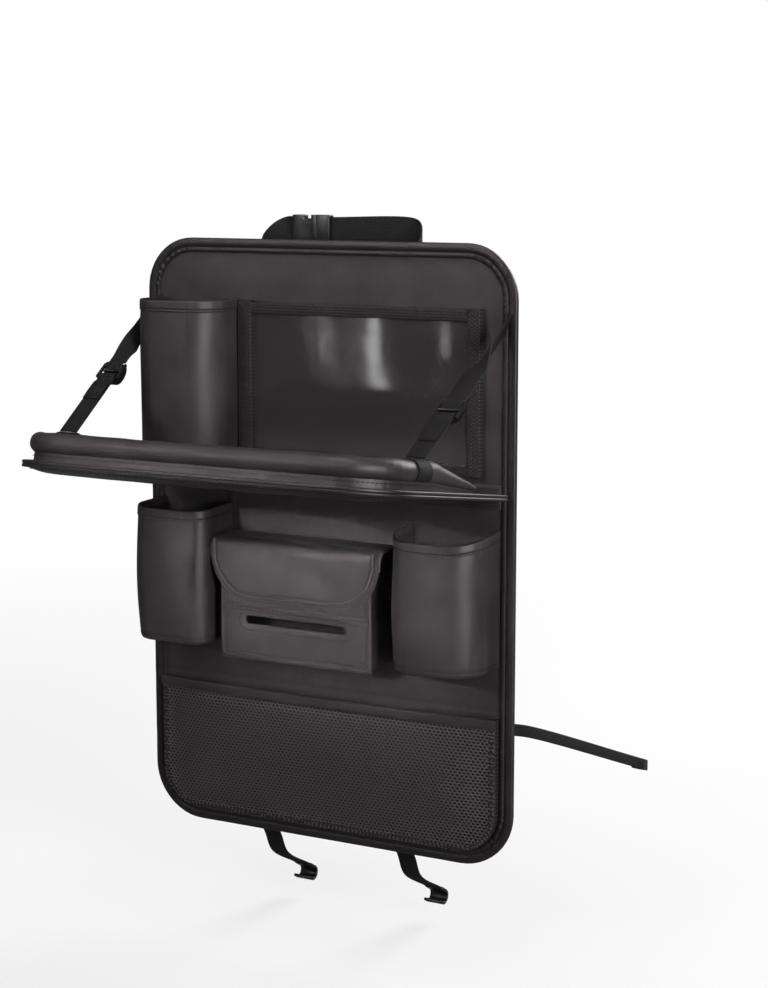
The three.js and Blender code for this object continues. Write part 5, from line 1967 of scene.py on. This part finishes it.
@dataclass
class Harness(Part):
    """The straps and plastic that hold the organizer to a seat.

    Attributes:
        width: Of the panel.
        band, sheet: Width and thickness of the headrest straps.
        reach, level, tail: How far they run behind the panel, their height and where they are sewn.
    """

    width: float = 410.0
    band: float = 38.0
    sheet: float = 1.8
    reach: float = 36.0
    level: float = 602.0
    tail: float = 562.0

    def ribbon(self, name: str, node: str, points: Array, across: Array, width: float, sewn: float) -> None:
        """A flat strap along a curve through points, with a boxed seam where it is sewn down.

        Args:
            name, node: Of the piece and its CAD node.
            points: Points (n, 3) that the strap passes through.
            across: The strap's width direction.
            width: In mm.
            sewn: How far from its start the strap is sewn to the panel.
        """
        skin = Skin(name)
        path = spline(points, 220)
        v = unit(np.cross(heading(path), across))
        skin.sweep(path, across, v, block_section(width, self.sheet, 0.8, 3))
        run = length_along(path)
        part = (run > 2.5) & (run < sewn)
        lift = v[part] * (self.sheet / 2) * np.sign(v[part][0][1])
        face, half = path[part] + lift, across * (width / 2 - 2.2)
        for edge in (-1, 1):
            for share in (edge, np.linspace(-edge, edge, len(face))[:, None]):
                skin.stitches(face + half * share, lift, Stitch.STRAP)
        for end in (0, -1):
            skin.stitches(face[end] + half * np.linspace(-1, 1, 24)[:, None], lift[end], Stitch.STRAP)
        self.close(skin, self.wardrobe.webbing, Slot.WEBBING, node)

    def headrest(self) -> None:
        """Both headrest straps, each sewn to the rear, round one post and along behind both."""
        lift = REAR + 0.3 + self.sheet / 2
        for word, outer, stop in (("left", -82.0, -52.5), ("right", 92.0, -20.2)):
            side = math.copysign(52, outer)
            rows = [(1, lift, 0), (0.7, lift, 0), (0.54, lift, 0.01), (0.38, lift + 0.6, 0.02),
                    (0.12, lift + 6, 0.2), (0, self.reach * 0.45, 0.55), (0.1, self.reach * 0.82, 0.86),
                    (0.3, self.reach, 1)]
            points = [(outer - side * x, y, self.tail + (self.level - self.tail) * up) for x, y, up in rows]
            points.append((stop, self.reach, self.level))
            self.ribbon(f"post_strap_{word}", f"headrest_strap_{word}", np.array(points), UPWARD, self.band,
                        24)
        for word, edge in (("socket", 1.2), ("plug", 0.9)):
            piece = moulded_copy(f"buckle_{word}", f"buckle_{word}_half", self.wardrobe.plastic, edge)
            settle(piece, Body.MAIN, f"buckle_{word}")

    def seat(self) -> None:
        """The side and foot straps with their hooks."""
        lift = REAR + 0.3 + self.sheet / 2
        edge = self.width / 2
        for word, side in (("left", -1.0), ("right", 1.0)):
            points = np.array([
                (edge - 48, lift, 139), (edge - 33.6, lift, 139), (edge - 25.9, lift, 139),
                (edge - 18.2, lift + 1.6, 139), (edge - 4.8, lift + 6, 138), (edge + 2.9, lift + 20, 134),
                (220, 293, 33)]) * (side, 1, 1)
            self.ribbon(f"side_band_{word}", f"side_strap_{word}", points, UPWARD, 12, 18)
            x = side * 78
            points = np.array([
                (x, lift, 42), (x, lift, 31.9), (x, lift, 25.2), (x, lift + 1.9, 16.8), (x, lift + 8, 5.9),
                (x, lift + 19.8, -12.2), (x, lift + 32, -34), (x, 78, -62)])
            self.ribbon(f"foot_band_{word}", f"foot_strap_{word}", points, RIGHT, 20, 16)
            for kind in ("side", "foot"):
                node = f"{kind}_hook_{word}"
                piece = moulded_copy(node, f"{kind}_hook_moulded_{word}", self.wardrobe.plastic, 0.9)
                settle(piece, Body.MAIN, node)

    def make(self) -> None:
        """Builds the whole harness."""
        self.headrest()
        self.seat()


@dataclass
class Studio:
    """Camera, floor and lights.

    Attributes:
        focal: Lens length for a 36 mm long side.
        azimuth, elevation, distance: Of the camera from its target, in degrees and metres.
        target: What it looks at.
        floor: Level of the floor.
    """

    focal: float = 76.52
    azimuth: float = 28.414
    elevation: float = 9.01
    distance: float = 2.029278
    target: tuple = (0.065109, -0.005, 0.057477)
    floor: float = -0.40

    def camera(self) -> None:
        """A level camera on the photograph's line of sight."""
        data = bpy.data.cameras.new("view")
        data.lens, data.sensor_width, data.sensor_fit = self.focal, 36.0, "AUTO"
        data.clip_start, data.clip_end = 0.05, 60.0
        az, el = math.radians(self.azimuth), math.radians(self.elevation)
        back = Vector((math.sin(az) * math.cos(el), -math.cos(az) * math.cos(el), math.sin(el)))
        view = link("view", data)
        view.location = Vector(self.target) + back * self.distance
        view.rotation_euler = (-back).to_track_quat("-Z", "Y").to_euler()
        bpy.context.scene.camera = view

    def ground(self) -> None:
        """A pale floor that fades into the white surroundings far from the object."""
        a = np.linspace(0, 2 * math.pi, 97)[:-1]
        r = np.array([0.2, 0.6, 1.2, 2.5, 5, 12.0])[:, None]
        ring = points_of(r * np.cos(a), r * np.sin(a), self.floor)
        mesh = bpy.data.meshes.new("floor")
        quads = quads_between(len(r), len(a))[:, [0, 3, 2, 1]]
        mesh.from_pydata(ring.reshape(-1, 3), [], quads.tolist() + [list(range(len(a)))])
        floor = link("floor", mesh)
        material, t, shader = new_material("pale_floor")
        seen = t.put("LightPath").outputs["Is Camera Ray"]
        pale = t.put("Mix", data_type="RGBA", I0=seen, I6=(0.2, 0.2, 0.2, 1), I7=(0.8, 0.8, 0.8, 1))
        t.fill(shader.inputs["Base Color"], pale.outputs[2])
        shader.inputs["Roughness"].default_value = 0.9
        shader.inputs["Specular IOR Level"].default_value = 0.1
        sink = t.find("OUTPUT_MATERIAL")
        far = t.put("VectorMath", operation="LENGTH", I0=t.put("TexCoord").outputs["Object"])
        fade = t.put("MapRange", interpolation_type="SMOOTHSTEP", Value=far.outputs["Value"], From_Min=0.6,
                     From_Max=2.4, To_Min=0.72, To_Max=1.0)
        glow = t.put("Emission", Color=(1, 1, 1, 1), Strength=1.0)
        mix = t.put("MixShader", I0=t.math("MULTIPLY", seen, fade.outputs[0]), I1=shader.outputs[0],
                    I2=glow.outputs[0])
        t.fill(sink.inputs["Surface"], mix.outputs[0])
        mesh.materials.append(material)

    def world(self) -> None:
        """White to the camera, dim in reflections and as light."""
        world = bpy.data.worlds.new("studio")
        bpy.context.scene.world = world
        world.use_nodes = True
        t = Tree(world.node_tree)
        shade = t.find("BACKGROUND")
        shade.inputs["Color"].default_value = (1, 1, 1, 1)
        path = t.put("LightPath")
        glossy = t.math("MULTIPLY", path.outputs["Is Glossy Ray"], 0.12)
        dim = t.math("MAXIMUM", glossy, 0.05)
        t.fill(shade.inputs["Strength"], t.math("MAXIMUM", path.outputs["Is Camera Ray"], dim))

    def lamp(self, name: str, place: tuple, size: tuple, power: float, aim: tuple,
             spread: float = 180) -> None:
        """A soft box.

        Args:
            name: Of the lamp.
            place: Where it stands, in metres.
            size: Width and height.
            power: In watts.
            aim: What it points at.
            spread: How wide its beam opens, in degrees.
        """
        data = bpy.data.lights.new(name, "AREA")
        data.shape, data.size, data.size_y, data.energy = "RECTANGLE", *size, power
        data.spread = math.radians(spread)
        made = link(name, data)
        made.location = place
        made.rotation_euler = (Vector(aim) - Vector(place)).to_track_quat("-Z", "Y").to_euler()

    def make(self) -> None:
        """Camera first, then floor, world and lamps."""
        self.camera()
        self.ground()
        self.world()
        self.lamp("key", (-0.35, -2.12, 0.58), (0.25, 0.10), 0.17, (0.01, -0.06, -0.035), 6.5)
        self.lamp("front", (-0.9, -2.1, 1.2), (0.7, 0.6), 0.75, (0, 0, 0.27), 30)
        self.lamp("glint", (-1.15, -2.2, -0.12), (0.05, 0.7), 0.11, (0.04, 0, 0.16), 60)
        self.lamp("fill", (2.2, -1.3, 0.5), (0.8, 1.4), 62, (0, 0, 0))
        self.lamp("top", (-0.1, -0.9, 2.1), (1.4, 0.7), 22, (0, -0.1, 0.1))
        self.lamp("rear", (0.6, 2.2, 1.2), (1.4, 1.4), 60, (0, 0, 0))
        bpy.context.scene.view_settings.view_transform = "Standard"


def main() -> None:
    """Builds the studio and every sub-assembly."""
    logging.basicConfig(level=logging.INFO, format="%(message)s")
    Studio().make()
    wardrobe = Wardrobe()
    panel = Panel(wardrobe)
    parts = [
        panel,
        Pocket(wardrobe, "bottle_pocket_upper", "upper_bottle_pocket", left=-186, right=-96, depth=60,
               left_radius=26, right_radius=34, foot=378, rim=540, dip=0, seed=101, squashed=True,
               fullness=3.0),
        Pocket(wardrobe, "cup_pocket_wall", "cup_pocket", left=-190, right=-107, depth=60,
               left_radius=22, right_radius=14, foot=200, rim=336, dip=2, seed=111),
        Pocket(wardrobe, "bottle_pocket_lower", "lower_bottle_pocket", left=97, right=190, depth=58,
               left_radius=28, right_radius=32, foot=198, rim=331, dip=8, seed=121),
        Window(wardrobe),
        Tray(wardrobe),
        TissueBox(wardrobe),
        Pouch(wardrobe, panel),
        Harness(wardrobe),
    ]
    for part in parts:
        LOG.info("building %s", type(part).__name__)
        part.make()


if __name__ == "__main__":
    main()
